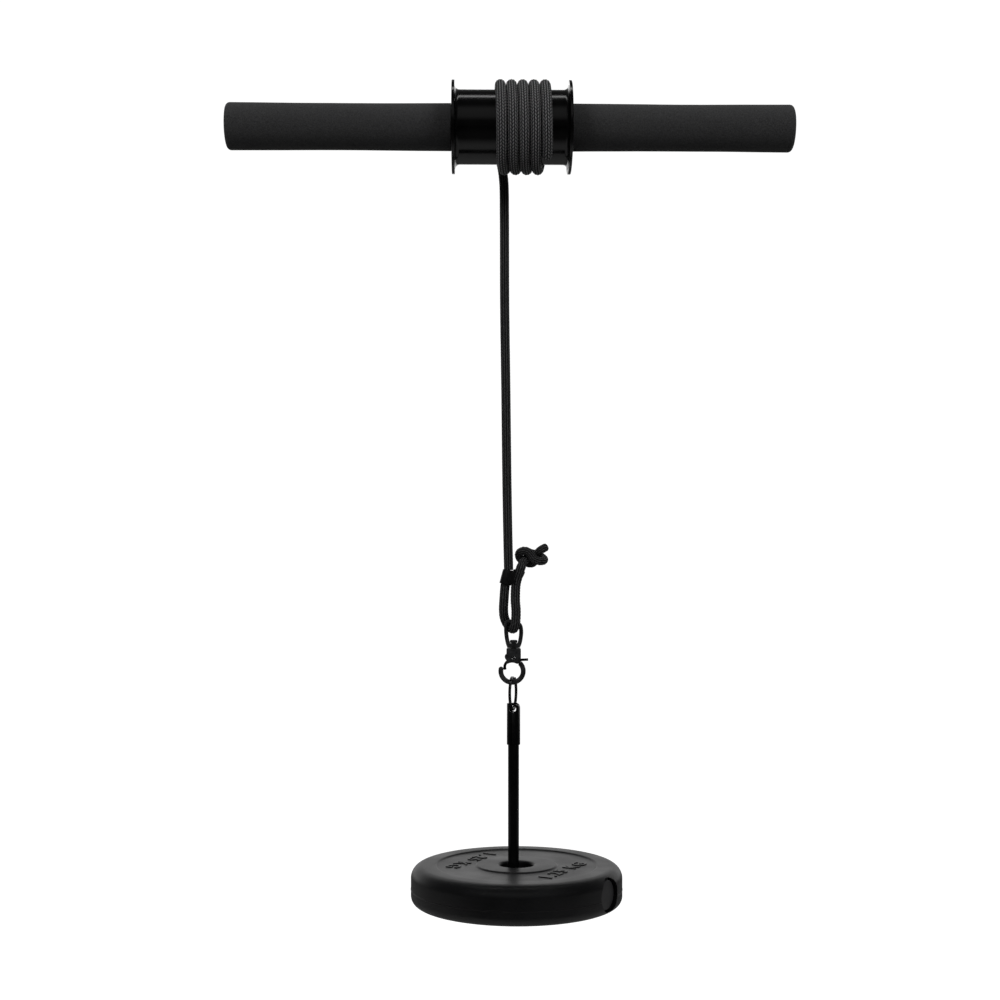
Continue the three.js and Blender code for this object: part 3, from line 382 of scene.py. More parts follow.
rivet_steel = grained(
    "rivet_steel", dark=(0.2, 0.2, 0.205), light=(0.34, 0.34, 0.345), rough=(0.2, 0.34),
    grain_scale=1400, mottle=260, bump=0.2, depth=0.00003, share='Cloud', metallic=1.0)
bright_steel = grained(
    "bright_steel", dark=(0.42, 0.42, 0.43), light=(0.60, 0.60, 0.61), rough=(0.2, 0.34),
    grain_scale=1400, mottle=260, bump=0.2, depth=0.00003, share='Cloud', metallic=1.0)
ring_steel = grained(
    "ring_steel", dark=(0.045, 0.045, 0.047), light=(0.10, 0.10, 0.103), rough=(0.16, 0.28),
    grain_scale=1400, mottle=260, bump=0.2, depth=0.00003, share='Cloud', metallic=1.0)
cement = grained(
    "rough_cement", dark=(0.30, 0.29, 0.27), light=(0.45, 0.44, 0.41), rough=(0.9, 0.98),
    grain_scale=500, mottle=60, bump=0.8, depth=0.0004)
# Two copies of one rope: the wound one is the lit copy, with light crowns; the drop, loop and knot take a
# darker copy whose dim crowns are painted shade
lit_rope_fibre = rope_material("braided_rope", valley=0.0012, crown=0.27, streaks=0.1)
shaded_taut_fibre = rope_material("braided_rope_taut_shaded", valley=0.0012, crown=0.06, streaks=0.65)


# ---- Making pieces by hand

def clear():
    if bpy.context.object and bpy.context.object.mode != 'OBJECT':
        bpy.ops.object.mode_set(mode='OBJECT')
    bpy.ops.object.select_all(action='DESELECT')


def only(piece):
    clear()
    piece.select_set(True)
    bpy.context.view_layer.objects.active = piece
    return piece


def named(name):
    piece = bpy.context.object
    piece.name = name
    piece.data.name = name
    return piece


def settled(piece):
    only(piece)
    bpy.ops.object.transform_apply(location=True, rotation=True, scale=True)
    return piece


def editing(piece):
    only(piece)
    bpy.ops.object.mode_set(mode='EDIT')
    bpy.ops.mesh.select_all(action='SELECT')


def closed_up(piece):
    """Merges what meets, fills open ends and turns every face out"""
    editing(piece)
    bpy.ops.mesh.remove_doubles(threshold=0.002 * mm)
    bpy.ops.mesh.fill_holes(sides=0)
    bpy.ops.mesh.select_all(action='SELECT')
    bpy.ops.mesh.normals_make_consistent(inside=False)
    bpy.ops.object.mode_set(mode='OBJECT')
    return piece


def smoothed(piece, angle=32):
    only(piece)
    bpy.ops.object.shade_smooth_by_angle(angle=math.radians(angle))
    return piece


def rounded(piece, width, segments=3, angle=30):
    only(piece)
    step = piece.modifiers.new("round", 'BEVEL')
    step.width = width * mm
    step.segments = segments
    step.limit_method = 'ANGLE'
    step.angle_limit = math.radians(angle)
    bpy.ops.object.modifier_apply(modifier=step.name)
    return piece


def combined(piece, tool, operation='DIFFERENCE'):
    only(piece)
    step = piece.modifiers.new("combine", 'BOOLEAN')
    step.operation = operation
    step.solver = 'EXACT'
    step.object = tool
    bpy.ops.object.modifier_apply(modifier=step.name)
    bpy.data.objects.remove(tool, do_unlink=True)
    return piece


def arc(radius, height, round_, start, end, steps=5):
    """Points of a quarter round between two edges of a profile"""
    turns = [math.radians(start + (end - start) * i / steps) for i in range(steps + 1)]
    return [(radius + round_ * math.cos(t), height + round_ * math.sin(t)) for t in turns]


def eased(share):
    """A smooth step from 0 to 1"""
    share = min(max(share, 0), 1)
    return share * share * (3 - 2 * share)


def turned(name, profile, sides=96):
    """A round piece about Z: one ring, extruded and scaled from height to height"""
    clear()
    radius, height = profile[0]
    bpy.ops.mesh.primitive_circle_add(vertices=sides, radius=radius * mm, location=(0, 0, height * mm))
    piece = settled(named(name))
    editing(piece)
    for next_radius, next_height in profile[1:]:
        rise = (0, 0, (next_height - height) * mm)
        bpy.ops.mesh.extrude_region_move(TRANSFORM_OT_translate={"value": rise})
        if next_radius != radius:
            ratio = next_radius / radius
            middle = (0, 0, next_height * mm)
            bpy.ops.transform.resize(value=(ratio, ratio, 1), center_override=middle)
        radius, height = next_radius, next_height
    bpy.ops.object.mode_set(mode='OBJECT')
    return closed_up(piece)


def placed(piece, centre=(0, 0, 0), turn=(0, 0, 0)):
    piece.rotation_euler = [math.radians(a) for a in turn]
    piece.location = Vector(centre) * mm
    return settled(piece)


def drilled(piece, radius, start, end, sides=48):
    """A round hole through the piece from one point to another"""
    tool = rod_between("drill", radius, start, end, sides)
    return combined(piece, tool)


def rod_between(name, radius, start, end, sides=48):
    start, end = Vector(start), Vector(end)
    clear()
    bpy.ops.mesh.primitive_cylinder_add(vertices=sides, radius=radius * mm, depth=(end - start).length * mm)
    rod = named(name)
    rod.rotation_euler = (end - start).to_track_quat('Z', 'Y').to_euler()
    rod.location = (start + end) / 2 * mm
    return settled(rod)


def block(name, size, centre, turn=(0, 0, 0)):
    clear()
    bpy.ops.mesh.primitive_cube_add(size=1)
    piece = named(name)
    piece.scale = Vector(size) * mm
    return placed(piece, centre, turn)


def wire(name, points, radius, steps=10, sides=5):
    """A bent wire through the points, round in section, with flat ends"""
    clear()
    curve = bpy.data.curves.new(name, 'CURVE')
    curve.dimensions = '3D'
    spline = curve.splines.new('NURBS')
    spline.points.add(len(points) - 1)
    for knot, point in zip(spline.points, points):
        knot.co = (*(Vector(point) * mm), 1)
    spline.use_endpoint_u = True
    spline.order_u = 4
    spline.resolution_u = steps
    curve.bevel_depth = radius * mm
    curve.bevel_resolution = sides
    curve.use_fill_caps = True
    piece = bpy.data.objects.new(name, curve)
    bpy.context.scene.collection.objects.link(piece)
    only(piece)
    bpy.ops.object.convert(target='MESH')
    return closed_up(bpy.context.object)


def finished(piece, material, body, slot, *cad_nodes, angle=32):
    smoothed(piece, angle)
    piece.data.materials.clear()
    piece.data.materials.append(material)
    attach(piece, body)
    if cad_nodes:
        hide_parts(*cad_nodes)
    return piece


# ---- Rope

COLUMNS = 12
ROW_PITCH = 2.3
WOUND_HALF, DROP_HALF, LOOP_HALF, KNOT_HALF = 3.95, 3.65, 3.68, 3.25
TURN_PITCH, FIRST_TURN_X, WOUND_TURNS = 8.2, 24.3, 4.5
ANCHOR_BEND = 4.5
SPAN_POINTS = 40


def smooth_route(points, step):
    """Even points along a smooth curve through the given ones"""
    points = [np.array(p, float) for p in points]
    points = [2 * points[0] - points[1]] + points + [2 * points[-1] - points[-2]]
    dense = []
    for a, b, c, d in zip(points, points[1:], points[2:], points[3:]):
        t0 = 0.0
        t1 = t0 + np.linalg.norm(b - a) ** 0.5
        t2 = t1 + np.linalg.norm(c - b) ** 0.5
        t3 = t2 + np.linalg.norm(d - c) ** 0.5
        for share in np.linspace(0, 1, SPAN_POINTS, endpoint=False):
            t = t1 + (t2 - t1) * share
            ab = a * (t1 - t) / (t1 - t0) + b * (t - t0) / (t1 - t0)
            bc = b * (t2 - t) / (t2 - t1) + c * (t - t1) / (t2 - t1)
            cd = c * (t3 - t) / (t3 - t2) + d * (t - t2) / (t3 - t2)
            abc = ab * (t2 - t) / (t2 - t0) + bc * (t - t0) / (t2 - t0)
            bcd = bc * (t3 - t) / (t3 - t1) + cd * (t - t1) / (t3 - t1)
            dense.append(abc * (t2 - t) / (t2 - t1) + bcd * (t - t1) / (t2 - t1))
    dense.append(points[-2])
    dense = np.array(dense)
    along = np.concatenate([[0], np.cumsum(np.linalg.norm(np.diff(dense, axis=0), axis=1))])
    count = max(int(along[-1] / step), 8)
    wanted = np.linspace(0, along[-1], count + 1)
    return np.stack([np.interp(wanted, along, dense[:, k]) for k in range(3)], axis=1), along[-1]


def plait(across, along):
    """Height of the plaited strands, from 0 in the valleys to 1 on the crowns"""
    share = across % 1
    parity = np.floor(across) % 2
    row = along + (2 * parity - 1) * (STRAND_SLANT * share - STRAND_SLANT / 2) + 0.5 * parity
    return (np.abs(np.sin(np.pi * share)) ** STRAND_FULLNESS
            * np.abs(np.sin(np.pi * row)) ** STRAND_FULLNESS)


def rope(name, points, radius, around=48, step=0.55, relief=0.45, sealed=False):
    """A plaited rope along the route, with a map that runs across in columns and along in rows"""
    centres, length = smooth_route(points, step)
    count = len(centres)
    forward = np.gradient(centres, axis=0)
    forward /= np.linalg.norm(forward, axis=1)[:, None]
    out = np.cross(forward[0], [0.0, 0.0, 1.0])
    if np.linalg.norm(out) < 0.1:
        out = np.array([1.0, 0.0, 0.0])
    outs = []
    for f in forward:
        out = out - f * np.dot(out, f)
        out /= np.linalg.norm(out)
        outs.append(out.copy())
    outs = np.array(outs)
    sides = np.cross(forward, outs)
    columns = np.arange(around) * COLUMNS / around
    rows = np.linspace(0, length, count) / ROW_PITCH
    height = plait(columns[None, :] + 1e-6, rows[:, None])
    reach = radius - relief * (1 - height)
    if sealed:
        tip, tip_length = 0.72, 1.6
        left = np.linspace(0, length, count)[::-1]
        reach = reach * (tip + (1 - tip) * np.clip(left / tip_length, 0, 1) ** 0.5)[:, None]
    angle = columns * 2 * np.pi / COLUMNS
    ring = outs[:, None, :] * np.cos(angle)[None, :, None] + sides[:, None, :] * np.sin(angle)[None, :, None]
    corners = (centres[:, None, :] + ring * reach[:, :, None]).reshape(-1, 3) * mm
    faces = []
    for i in range(count - 1):
        for j in range(around):
            k = (j + 1) % around
            faces.append((i * around + j, i * around + k, (i + 1) * around + k, (i + 1) * around + j))
    faces.append(tuple(range(around))[::-1])
    faces.append(tuple((count - 1) * around + j for j in range(around)))
    mesh = bpy.data.meshes.new(name)
    mesh.from_pydata([tuple(c) for c in corners], [], faces)
    layer = mesh.uv_layers.new(name="strands")
    across = np.arange(around + 1) * COLUMNS / around
    values = np.zeros((len(mesh.loops), 2), np.float32)
    quads = (count - 1) * around
    i, j = np.divmod(np.arange(quads), around)
    low, high = rows[i], rows[i + 1]
    values[:quads * 4] = np.stack([
        np.stack([across[j], low], 1), np.stack([across[j + 1], low], 1),
        np.stack([across[j + 1], high], 1), np.stack([across[j], high], 1),
    ], 1).reshape(-1, 2)
    layer.data.foreach_set("uv", values.ravel())
    piece = bpy.data.objects.new(name, mesh)
    bpy.context.scene.collection.objects.link(piece)
    editing(piece)
    bpy.ops.mesh.normals_make_consistent(inside=False)
    bpy.ops.object.mode_set(mode='OBJECT')
    return piece, [tuple(c * mm) for c in centres], length * mm


def outward_at(angle):
    return np.array([0.0, -math.cos(angle), math.sin(angle)])


def forward_at(angle):
    return np.array([0.0, math.sin(angle), math.cos(angle)])


def wind_x(turns):
    """The rope moves left by one pitch a turn, mostly in a crossing low on the drum's back"""
    from_top = turns - 0.25
    whole = math.floor(from_top)
    rest = from_top - whole
    crossing_start, crossing_span, drift = 0.26, 0.35, 0.35
    crossing = eased((rest - crossing_start) / crossing_span)
    return FIRST_TURN_X - TURN_PITCH * (whole + drift * rest + (1 - drift) * crossing)


def wound_route():
    anchor_x = wind_x(ANCHOR_TURN / (2 * math.pi))
    outward, forward = outward_at(ANCHOR_TURN), forward_at(ANCHOR_TURN)
    along_x = np.array([1.0, 0.0, 0.0])
    bend = math.asin(ANCHOR_BEND / WIND_RADIUS)
    foot = WIND_RADIUS * math.cos(bend) - ANCHOR_BEND
    inner_end, bend_steps = 21.5, 5
    route = [along_x * anchor_x + outward * inner_end]
    for i in range(bend_steps):
        turn = i / bend_steps * math.pi / 2
        rise = foot + ANCHOR_BEND * math.sin(turn)
        advance = ANCHOR_BEND * (1 - math.cos(turn))
        route.append(along_x * anchor_x + outward * rise + forward * advance)
    start, end = ANCHOR_TURN + bend, WOUND_TURNS * 2 * math.pi
    steps, settling_turns = 111, 0.16
    for i in range(steps + 1):
        angle = start + (end - start) * i / steps
        share = eased((angle - start) / (settling_turns * 2 * math.pi))
        x = anchor_x + (wind_x(angle / (2 * math.pi)) - anchor_x) * share
        route.append(along_x * x + outward_at(angle) * WIND_RADIUS)
    tangent = wind_x(WOUND_TURNS)
    route.append(np.array([tangent, HANG_Y, -3.7]))
    route.append(np.array([tangent, HANG_Y, -7.4]))
    return route


DROP_ROUTE = [
    (-9.22, HANG_Y, -7.7), (-9.12, HANG_Y, -9.7), (-8.2, HANG_Y, -14.5), (-6.3, HANG_Y, -23),
    (-5.0, HANG_Y, -34), (-4.6, HANG_Y, -60), (-4.4, HANG_Y, -124), (-3.5, HANG_Y, -192),
    (-2.7, HANG_Y, -260), (-1.9, HANG_Y, -306), (-1.4, HANG_Y, -327.3),
]
LOOP_ROUTE = [
    (-1.5, 30.4, -327.6), (-1.6, 30.4, -329.4), (-2.7, 30.4, -332.8), (-3.9, 30.6, -338), (-4.9, 32, -349.9),
    (-5.2, 34, -357.4), (-4.5, 35.9, -363.5), (-2, 35.9, -369), (1.9, 30.8, -371.9), (3.5, 25.5, -368.2),
    (4, 25.1, -363.4), (4.1, 25.6, -357.4), (3.6, 26.6, -349.9), (4.1, 27.4, -338), (5.4, 27.4, -332.8),
    (7.36, 25.41, -326.61), (8.17, 27.35, -324.2),
]
KNOT_ROUTE = [
    (8.24, 27.53, -323.97), (9.15, 29.71, -321.49), (10.43, 32.76, -320.64), (11.88, 35.57, -319.49),
    (13.05, 37.66, -317.05), (13.96, 40.21, -314.99), (15.99, 42.83, -314.46), (19.09, 43.95, -315.18),
    (22.19, 43.27, -316.39), (24.54, 41.21, -317.71), (25.74, 38.27, -318.95), (25.49, 35.04, -319.95),
    (23.69, 32.23, -320.52), (20.66, 30.8, -320.24), (17.75, 31.12, -318.58), (15.76, 31.75, -315.88),
    (13.41, 31.86, -313.42), (10.23, 32.62, -312.65), (7.67, 34.62, -313.58), (6.59, 37.27, -315.41),
    (7.05, 39.87, -317.56), (8.83, 41.87, -319.66), (11.61, 42.81, -321.39), (14.82, 42.32, -322.34),
    (17.56, 40.42, -321.9), (18.93, 38.25, -319.71), (19.78, 36.99, -316.65), (21.22, 35.46, -313.99),
    (22.52, 32.7, -312.46), (24.91, 31.09, -310.96), (27.76, 32.12, -309.48),
]


def make_ropes():
    wound, path, length = rope("wound_rope", wound_route(), WOUND_HALF)
    finished(wound, lit_rope_fibre, "roller", "rope", "rope_winding", angle=70)
    make_stopper_knot()
    # The drop, loop and knot wear the darker rope copy, whose dim crowns are painted shade
    drop, path, length = rope("hanging_rope", DROP_ROUTE, DROP_HALF)
    finished(drop, shaded_taut_fibre, "hanging_rope", "rope", "rope_drop", angle=70)
    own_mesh(drop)
    loop, path, length = rope("end_loop", LOOP_ROUTE, LOOP_HALF)
    finished(loop, shaded_taut_fibre, "rope_end", "rope", "rope_loop", angle=70)
    knot, path, length = rope("tail_knot", KNOT_ROUTE, KNOT_HALF, sealed=True)
    finished(knot, shaded_taut_fibre, "rope_end", "rope", "rope_tail_knot", angle=70)


def make_stopper_knot():
    """The hidden stopper: a small ball of three crossed turns behind the drum's hole"""
    anchor_x = wind_x(ANCHOR_TURN / (2 * math.pi))
    centre = np.array([anchor_x - 2, 0, 0]) + outward_at(ANCHOR_TURN) * 17
    forward, outward = forward_at(ANCHOR_TURN), outward_at(ANCHOR_TURN)
    steps, gap = 44, 0.35
    route = []
    for i in range(steps + 1):
        t = gap + (2 * math.pi - 2 * gap) * i / steps
        radius = 3.1 + 1.1 * math.cos(3 * t)
        flat = np.array([1.0, 0, 0]) * radius * math.cos(2 * t) + forward * radius * math.sin(2 * t)
        route.append(centre + flat + outward * 1.3 * math.sin(3 * t))
    knot, _, _ = rope("stopper_knot", route, 2.4, around=24, step=0.8)
    finished(knot, lit_rope_fibre, "roller", "rope", "rope_anchor_knot", angle=70)


make_ropes()


# ---- Roller

def make_grip(name, cad_node, side):
    bore, radius, waist, start = 12.8, 17.2, 0.4, 44.3
    inner_round, outer_round, end_wall = 0.8, 3, 4
    length = 163.9 if side > 0 else 165.5
    steps = 20
    outer = []
    for i in range(steps + 1):
        share = i / steps
        height = inner_round + (length - inner_round - outer_round) * share
        outer.append((radius - waist * math.sin(math.pi * share), height))
    profile = [(bore, length - end_wall), (bore, 0.0)]
    profile += arc(radius - inner_round, inner_round, inner_round, -90, 0)[:-1] + outer
    profile += arc(radius - outer_round, length - outer_round, outer_round, 0, 90)[1:]
    profile += [(3, length), (0.4, length)]
    grip = turned(name, profile, 112)
    wave = bpy.data.textures.new(name + "_wave", 'CLOUDS')
    wave.noise_scale = 0.035
    only(grip)
    step = grip.modifiers.new("wave", 'DISPLACE')
    step.texture = wave
    step.texture_coords = 'LOCAL'
    step.strength = 0.0003
    step.mid_level = 0.5
    bpy.ops.object.modifier_apply(modifier=step.name)
    placed(grip, (side * start, 0, 0), (0, side * 90, 0))
    finished(grip, foam, "roller", "foam", cad_node, angle=50)


def make_barrel():
    half, bore, outer = 41.5, 24.5, 26.9
    flare, round_ = 30.2, 3.3
    profile = [(bore, -half)] + arc(flare, round_ - half, round_, -90, -180, 9)
    profile += [(outer, -20), (outer, 0), (outer, 20)] + arc(flare, half - round_, round_, 180, 90, 9)
    profile += [(bore, half), (bore, -half)]
    barrel = placed(turned("drum_shell", profile, 128), turn=(0, 90, 0))
    hole_x = wind_x(ANCHOR_TURN / (2 * math.pi))
    ray = outward_at(ANCHOR_TURN)
    middle = Vector((hole_x, 0, 0))
    drilled(barrel, 4.35, middle + Vector(ray) * 16, middle + Vector(ray) * 34, 40)
    finished(barrel, drum_gloss, "roller", "drum_gloss", "drum_barrel", angle=38)


def make_flange(name, cad_node, side):
    hub, collar, spigot, rim = 12.7, 16.1, 24.2, 33.8
    inner, outer = 41.8, 44.0
    collar_end, spigot_end, wall, round_ = inner - 7, inner - 5, 2.6, 0.4
    pin_place, pin_hole = 38.2, 1.7
    profile = [(hub, collar_end), (collar, collar_end), (collar, inner), (spigot - wall, inner)]
    profile += [(spigot - wall, spigot_end), (spigot, spigot_end), (spigot, inner)]
    profile += arc(rim - round_, inner + round_, round_, -90, 0, 4)
    profile += arc(rim - round_, outer - round_, round_, 0, 90, 4)
    profile += [(20, outer), (hub, outer), (hub, collar_end)]
    flange = placed(turned(name, profile, 144), turn=(0, side * 90, 0))
    drilled(flange, pin_hole, (side * pin_place, 0, -20), (side * pin_place, 0, 20), 24)
    finished(flange, drum_gloss, "roller", "drum_gloss", cad_node, angle=38)


make_grip("foam_grip_left", "grip_left", -1)
make_grip("foam_grip_right", "grip_right", 1)
make_barrel()
make_flange("drum_cheek_left", "drum_flange_left", -1)
make_flange("drum_cheek_right", "drum_flange_right", 1)


# ---- Clip and swivel hook

HOOK_RADIUS, HOOK_START, HOOK_SWEEP = 8.5, 46, -237
PIVOT_HOLE = 1.35


def stretched_round(name, radius, spacing, height, centre, sides=48):
    """A flat-ended bar with two round sides: a cylinder whose right half is moved out"""
    clear()
    bpy.ops.mesh.primitive_cylinder_add(vertices=sides, radius=radius * mm, depth=height * mm)
    piece = named(name)
    editing(piece)
    bpy.ops.mesh.select_all(action='DESELECT')
    bpy.ops.object.mode_set(mode='OBJECT')
    for corner in piece.data.vertices:
        corner.select = corner.co.x > 0.01 * mm
    bpy.ops.object.mode_set(mode='EDIT')
    bpy.ops.transform.translate(value=(spacing * mm, 0, 0))
    bpy.ops.object.mode_set(mode='OBJECT')
    return placed(piece, Vector(centre) - Vector((spacing / 2, 0, 0)))


def make_clip():
    """A closed barrel on the standing run and an open cradle in front for the tail, leaning with the ropes"""
    outer, bore = 4.5, 3.65
    middle = Vector((0, HANG_Y, (CRIMP_TOP + CRIMP_FOOT) / 2))
    lean, tilt = Vector((1.35, 0, 5.2)), 14.6
    left, right = middle + Vector((-2.7, 0, 0)), middle + Vector((5.4, -3, 0))
    clip = rod_between("rope_clip", outer, left - lean, left + lean, 64)
    combined(clip, rod_between("cradle", outer, right - lean, right + lean, 64), 'UNION')
    combined(clip, block("web", (8.6, 7.0, 10.2), (left + right) / 2, (0, tilt, -20.3)), 'UNION')
    mouth_turn = -45
    mouth = Vector((math.cos(math.radians(mouth_turn)), math.sin(math.radians(mouth_turn)), 0)) * 5.2
    combined(clip, block("mouth", (9, 9, 20), right + mouth, (0, tilt, mouth_turn)))
    rounded(clip, 0.45, 3, 40)
    drilled(clip, bore, left - lean * 1.6, left + lean * 1.6)
    drilled(clip, bore, (3.9, HANG_Y - 3.1, CRIMP_FOOT - 3), (7.0, HANG_Y - 3.6, CRIMP_TOP + 3))
    finished(clip, clip_metal, "rope_end", "crimp_metal", "rope_crimp", angle=35)


def make_bail():
    bar_z = EYE_BAR_TOP - 1.35
    half = [(3.9, EYE_BASE_TOP - 1.7), (4.9, EYE_BASE_TOP + 2.4), (5.7, bar_z - 5.2), (4.55, bar_z)]
    left = [(LOOP_X - x, HANG_Y, z) for x, z in half]
    right = [(LOOP_X + x, HANG_Y, z - 2.4 * i / 3) for i, (x, z) in enumerate(half)]
    bar = [(LOOP_X - 1.7, HANG_Y, bar_z), (LOOP_X + 1.7, HANG_Y, bar_z - 1.1)]
    bent, _ = smooth_route(left + bar + right[::-1], 0.8)
    bail = wire("swivel_bail", [tuple(p) for p in bent], 1.6, 6, 7)
    base = stretched_round("bail_base", 3.4, 3.6, 3.4, (LOOP_X, HANG_Y, EYE_BASE_TOP - 1.7))
    rounded(base, 0.6, 3, 40)
    combined(bail, base, 'UNION')
    drilled(bail, 2.0, (LOOP_X, HANG_Y, EYE_BASE_TOP - 8), (LOOP_X, HANG_Y, EYE_BASE_TOP + 0.6), 32)
    finished(bail, casting, "eye", "hook_casting", "swivel_eye", angle=40)


def on_hook(angle):
    turn = math.radians(angle)
    return Vector((HOOK_X + HOOK_RADIUS * math.cos(turn), HANG_Y, HOOK_EYE_Z + HOOK_RADIUS * math.sin(turn)))


def make_hook():
    hook = block("snap_hook", (10.9, 6.6, 11.8), (LOOP_X, HANG_Y, BLOCK_TOP - 5.9))
    rounded(hook, 1.0, 4)
    knuckle = Vector((LOOP_X - 3.9, HANG_Y, BLOCK_TOP - 6.7))
    bump = rod_between("bump", 2.85, knuckle - Vector((0, 3.1, 0)), knuckle + Vector((0, 3.1, 0)), 40)
    rounded(bump, 0.6, 3)
    combined(hook, bump, 'UNION')
    eye = Vector((HOOK_X, HANG_Y, HOOK_EYE_Z))
    combined(hook, rod_between("eye", 6.65, eye - Vector((0, 6, 0)), eye + Vector((0, 6, 0)), 64))
    combined(hook, block("slot", (13.3, 2.3, 12.1), (LOOP_X - 3.85, HANG_Y, PIVOT_Z - 3.25)))
    combined(hook, block("slot", (10.4, 2.3, 4.8), (LOOP_X + 5.2, HANG_Y, PIVOT_Z - 0.1)))
    combined(hook, rod_between("pocket", 1.2, (LOOP_X + 2.9, HANG_Y, PIVOT_Z + 0.5),
                               (LOOP_X + 2.9, HANG_Y, BLOCK_TOP - 2.2), 24))
    drilled(hook, PIVOT_HOLE, (LOOP_X, HANG_Y - 8, PIVOT_Z), (LOOP_X, HANG_Y + 8, PIVOT_Z), 32)
    clear()
    bpy.ops.mesh.primitive_circle_add(vertices=28, radius=1.88 * mm, location=on_hook(HOOK_START) * mm,
                                      rotation=(0, math.radians(-HOOK_START), 0))
    bow = settled(named("hook_wire"))
    editing(bow)
    bpy.ops.mesh.spin(steps=72, angle=math.radians(HOOK_SWEEP), center=eye * mm, axis=(0, 1, 0))
    bpy.ops.object.mode_set(mode='OBJECT')
    closed_up(bow)
    clear()
    tip = on_hook(HOOK_START + HOOK_SWEEP) * mm
    bpy.ops.mesh.primitive_uv_sphere_add(segments=28, ring_count=16, radius=1.9 * mm, location=tip)
    combined(bow, settled(named("hook_tip")), 'UNION')
    combined(hook, bow, 'UNION')
    head = EYE_BASE_TOP + 2.5
    post = [(0.3, BLOCK_TOP - 1.2), (1.8, BLOCK_TOP - 1.2), (1.8, EYE_BASE_TOP + 0.3)]
    post += arc(2.5, EYE_BASE_TOP + 0.7, 0.4, -90, 0, 3)
    post += arc(2.0, head - 0.9, 0.9, 0, 90, 5) + [(0.3, head)]
    combined(hook, placed(turned("post", post, 36), (LOOP_X, HANG_Y, 0)), 'UNION')
    finished(hook, casting, "hook", "hook_casting", "hook_body", angle=40)


def make_trigger():
    pivot = Vector((LOOP_X, HANG_Y, PIVOT_Z))
    thickness = 1.7
    half = Vector((0, thickness / 2, 0))
    hub = rod_between("gate_and_lever", 2.5, pivot - half, pivot + half, 48)
    combined(hub, block("shoulder", (3.4, thickness, 2.2), pivot + Vector((1.7, 0, 0.1))), 'UNION')
    lever = block("lever", (11, thickness, 1.9), pivot + Vector((5.5, 0, -1.65)))
    editing(lever)
    bpy.ops.mesh.subdivide(number_cuts=5)
    bpy.ops.mesh.select_all(action='DESELECT')
    bpy.ops.object.mode_set(mode='OBJECT')
    for corner in lever.data.vertices:
        corner.select = corner.co.x > (LOOP_X + 10) * mm
    bpy.ops.object.mode_set(mode='EDIT')
    bpy.ops.transform.translate(value=(0, 0, 0.45 * mm), use_proportional_edit=True,
                                proportional_edit_falloff='LINEAR', proportional_size=10 * mm)
    bpy.ops.object.mode_set(mode='OBJECT')
    rounded(lever, 0.3, 2, 60)
    combined(hub, lever, 'UNION')
    reach = 8.4
    shares = [(-0.06, 1.12), (-0.4, 0.9), (-0.6, 0.65), (-0.67, 0.4), (-0.62, 0.14)]
    finger, _ = smooth_route([(HOOK_X + x * reach, HANG_Y, HOOK_EYE_Z + z * reach) for x, z in shares], 1.0)
    combined(hub, wire("gate", [tuple(p) for p in finger], 1.12, 6, 5), 'UNION')
    drilled(hub, PIVOT_HOLE, pivot - Vector((0, 4, 0)), pivot + Vector((0, 4, 0)), 32)
    finished(hub, trigger_plating, "gate", "hook_casting", "gate_trigger", angle=40)


def make_rivet():
    shank, dome, edge, end = 1.15, 0.65, 3.0, 3.65
    profile = [(0.25, -end)] + arc(0.45, -edge, dome, -90, 0, 4)[:-1]
    profile += [(shank, -edge), (shank, -2.4), (shank, 2.4), (shank, edge)]
    profile += arc(0.45, edge, dome, 0, 90, 4)[1:] + [(0.25, end)]
    rivet = placed(turned("gate_rivet", profile, 32), (LOOP_X, HANG_Y, PIVOT_Z), (90, 0, 0))
    finished(rivet, rivet_steel, "hook", "bright_steel", "gate_pin")


def make_key_ring():
    """Two turns of flattened wire: a small rectangle carried round by a screw"""
    width, thickness, radius = 2.4, 0.85, 11.8
    sweep, pitch, ends = 705, 1.93, 262
    clear()
    bpy.ops.mesh.primitive_plane_add(size=1)
    ring = named("key_ring")
    ring.scale = (width * mm, thickness * mm, 1)
    settled(ring)
    ring.rotation_euler = (math.radians(90), 0, 0)
    ring.location = (radius * mm, 0, -0.5 * mm)
    settled(ring)
    editing(ring)
    bpy.ops.mesh.bevel(offset=0.18 * mm, segments=2, affect='VERTICES')
    bpy.ops.mesh.delete(type='ONLY_FACE')
    bpy.ops.object.mode_set(mode='OBJECT')
    only(ring)
    step = ring.modifiers.new("turns", 'SCREW')
    step.axis = 'Z'
    step.angle = math.radians(sweep)
    step.screw_offset = pitch * mm
    step.steps = step.render_steps = 180
    bpy.ops.object.modifier_apply(modifier=step.name)
    closed_up(ring)
    low, high = ring.bound_box[0], ring.bound_box[6]
    middle = (low[2] + high[2]) / 2 / mm
    placed(ring, (0, 0, -middle), (0, 0, ends))
    turn = Matrix(((0, 0, 1), (-1, 0, 0), (0, -1, 0))).to_4x4()
    centre = Matrix.Translation(Vector((RING_X, HANG_Y, RING_Z)) * mm)
    ring.matrix_world = centre @ Matrix.Rotation(-RING_YAW, 4, 'Z') @ turn
    settled(ring)
    closed_up(ring)
    finished(ring, ring_steel, "ring", "bright_steel", "split_ring", angle=35)


make_clip()
make_bail()
make_hook()
make_trigger()
make_rivet()
make_key_ring()


# ---- Loading pin

ROD_RADIUS, ROD_BORE, FOOT_RADIUS = 4.15, 4.35, 30.0


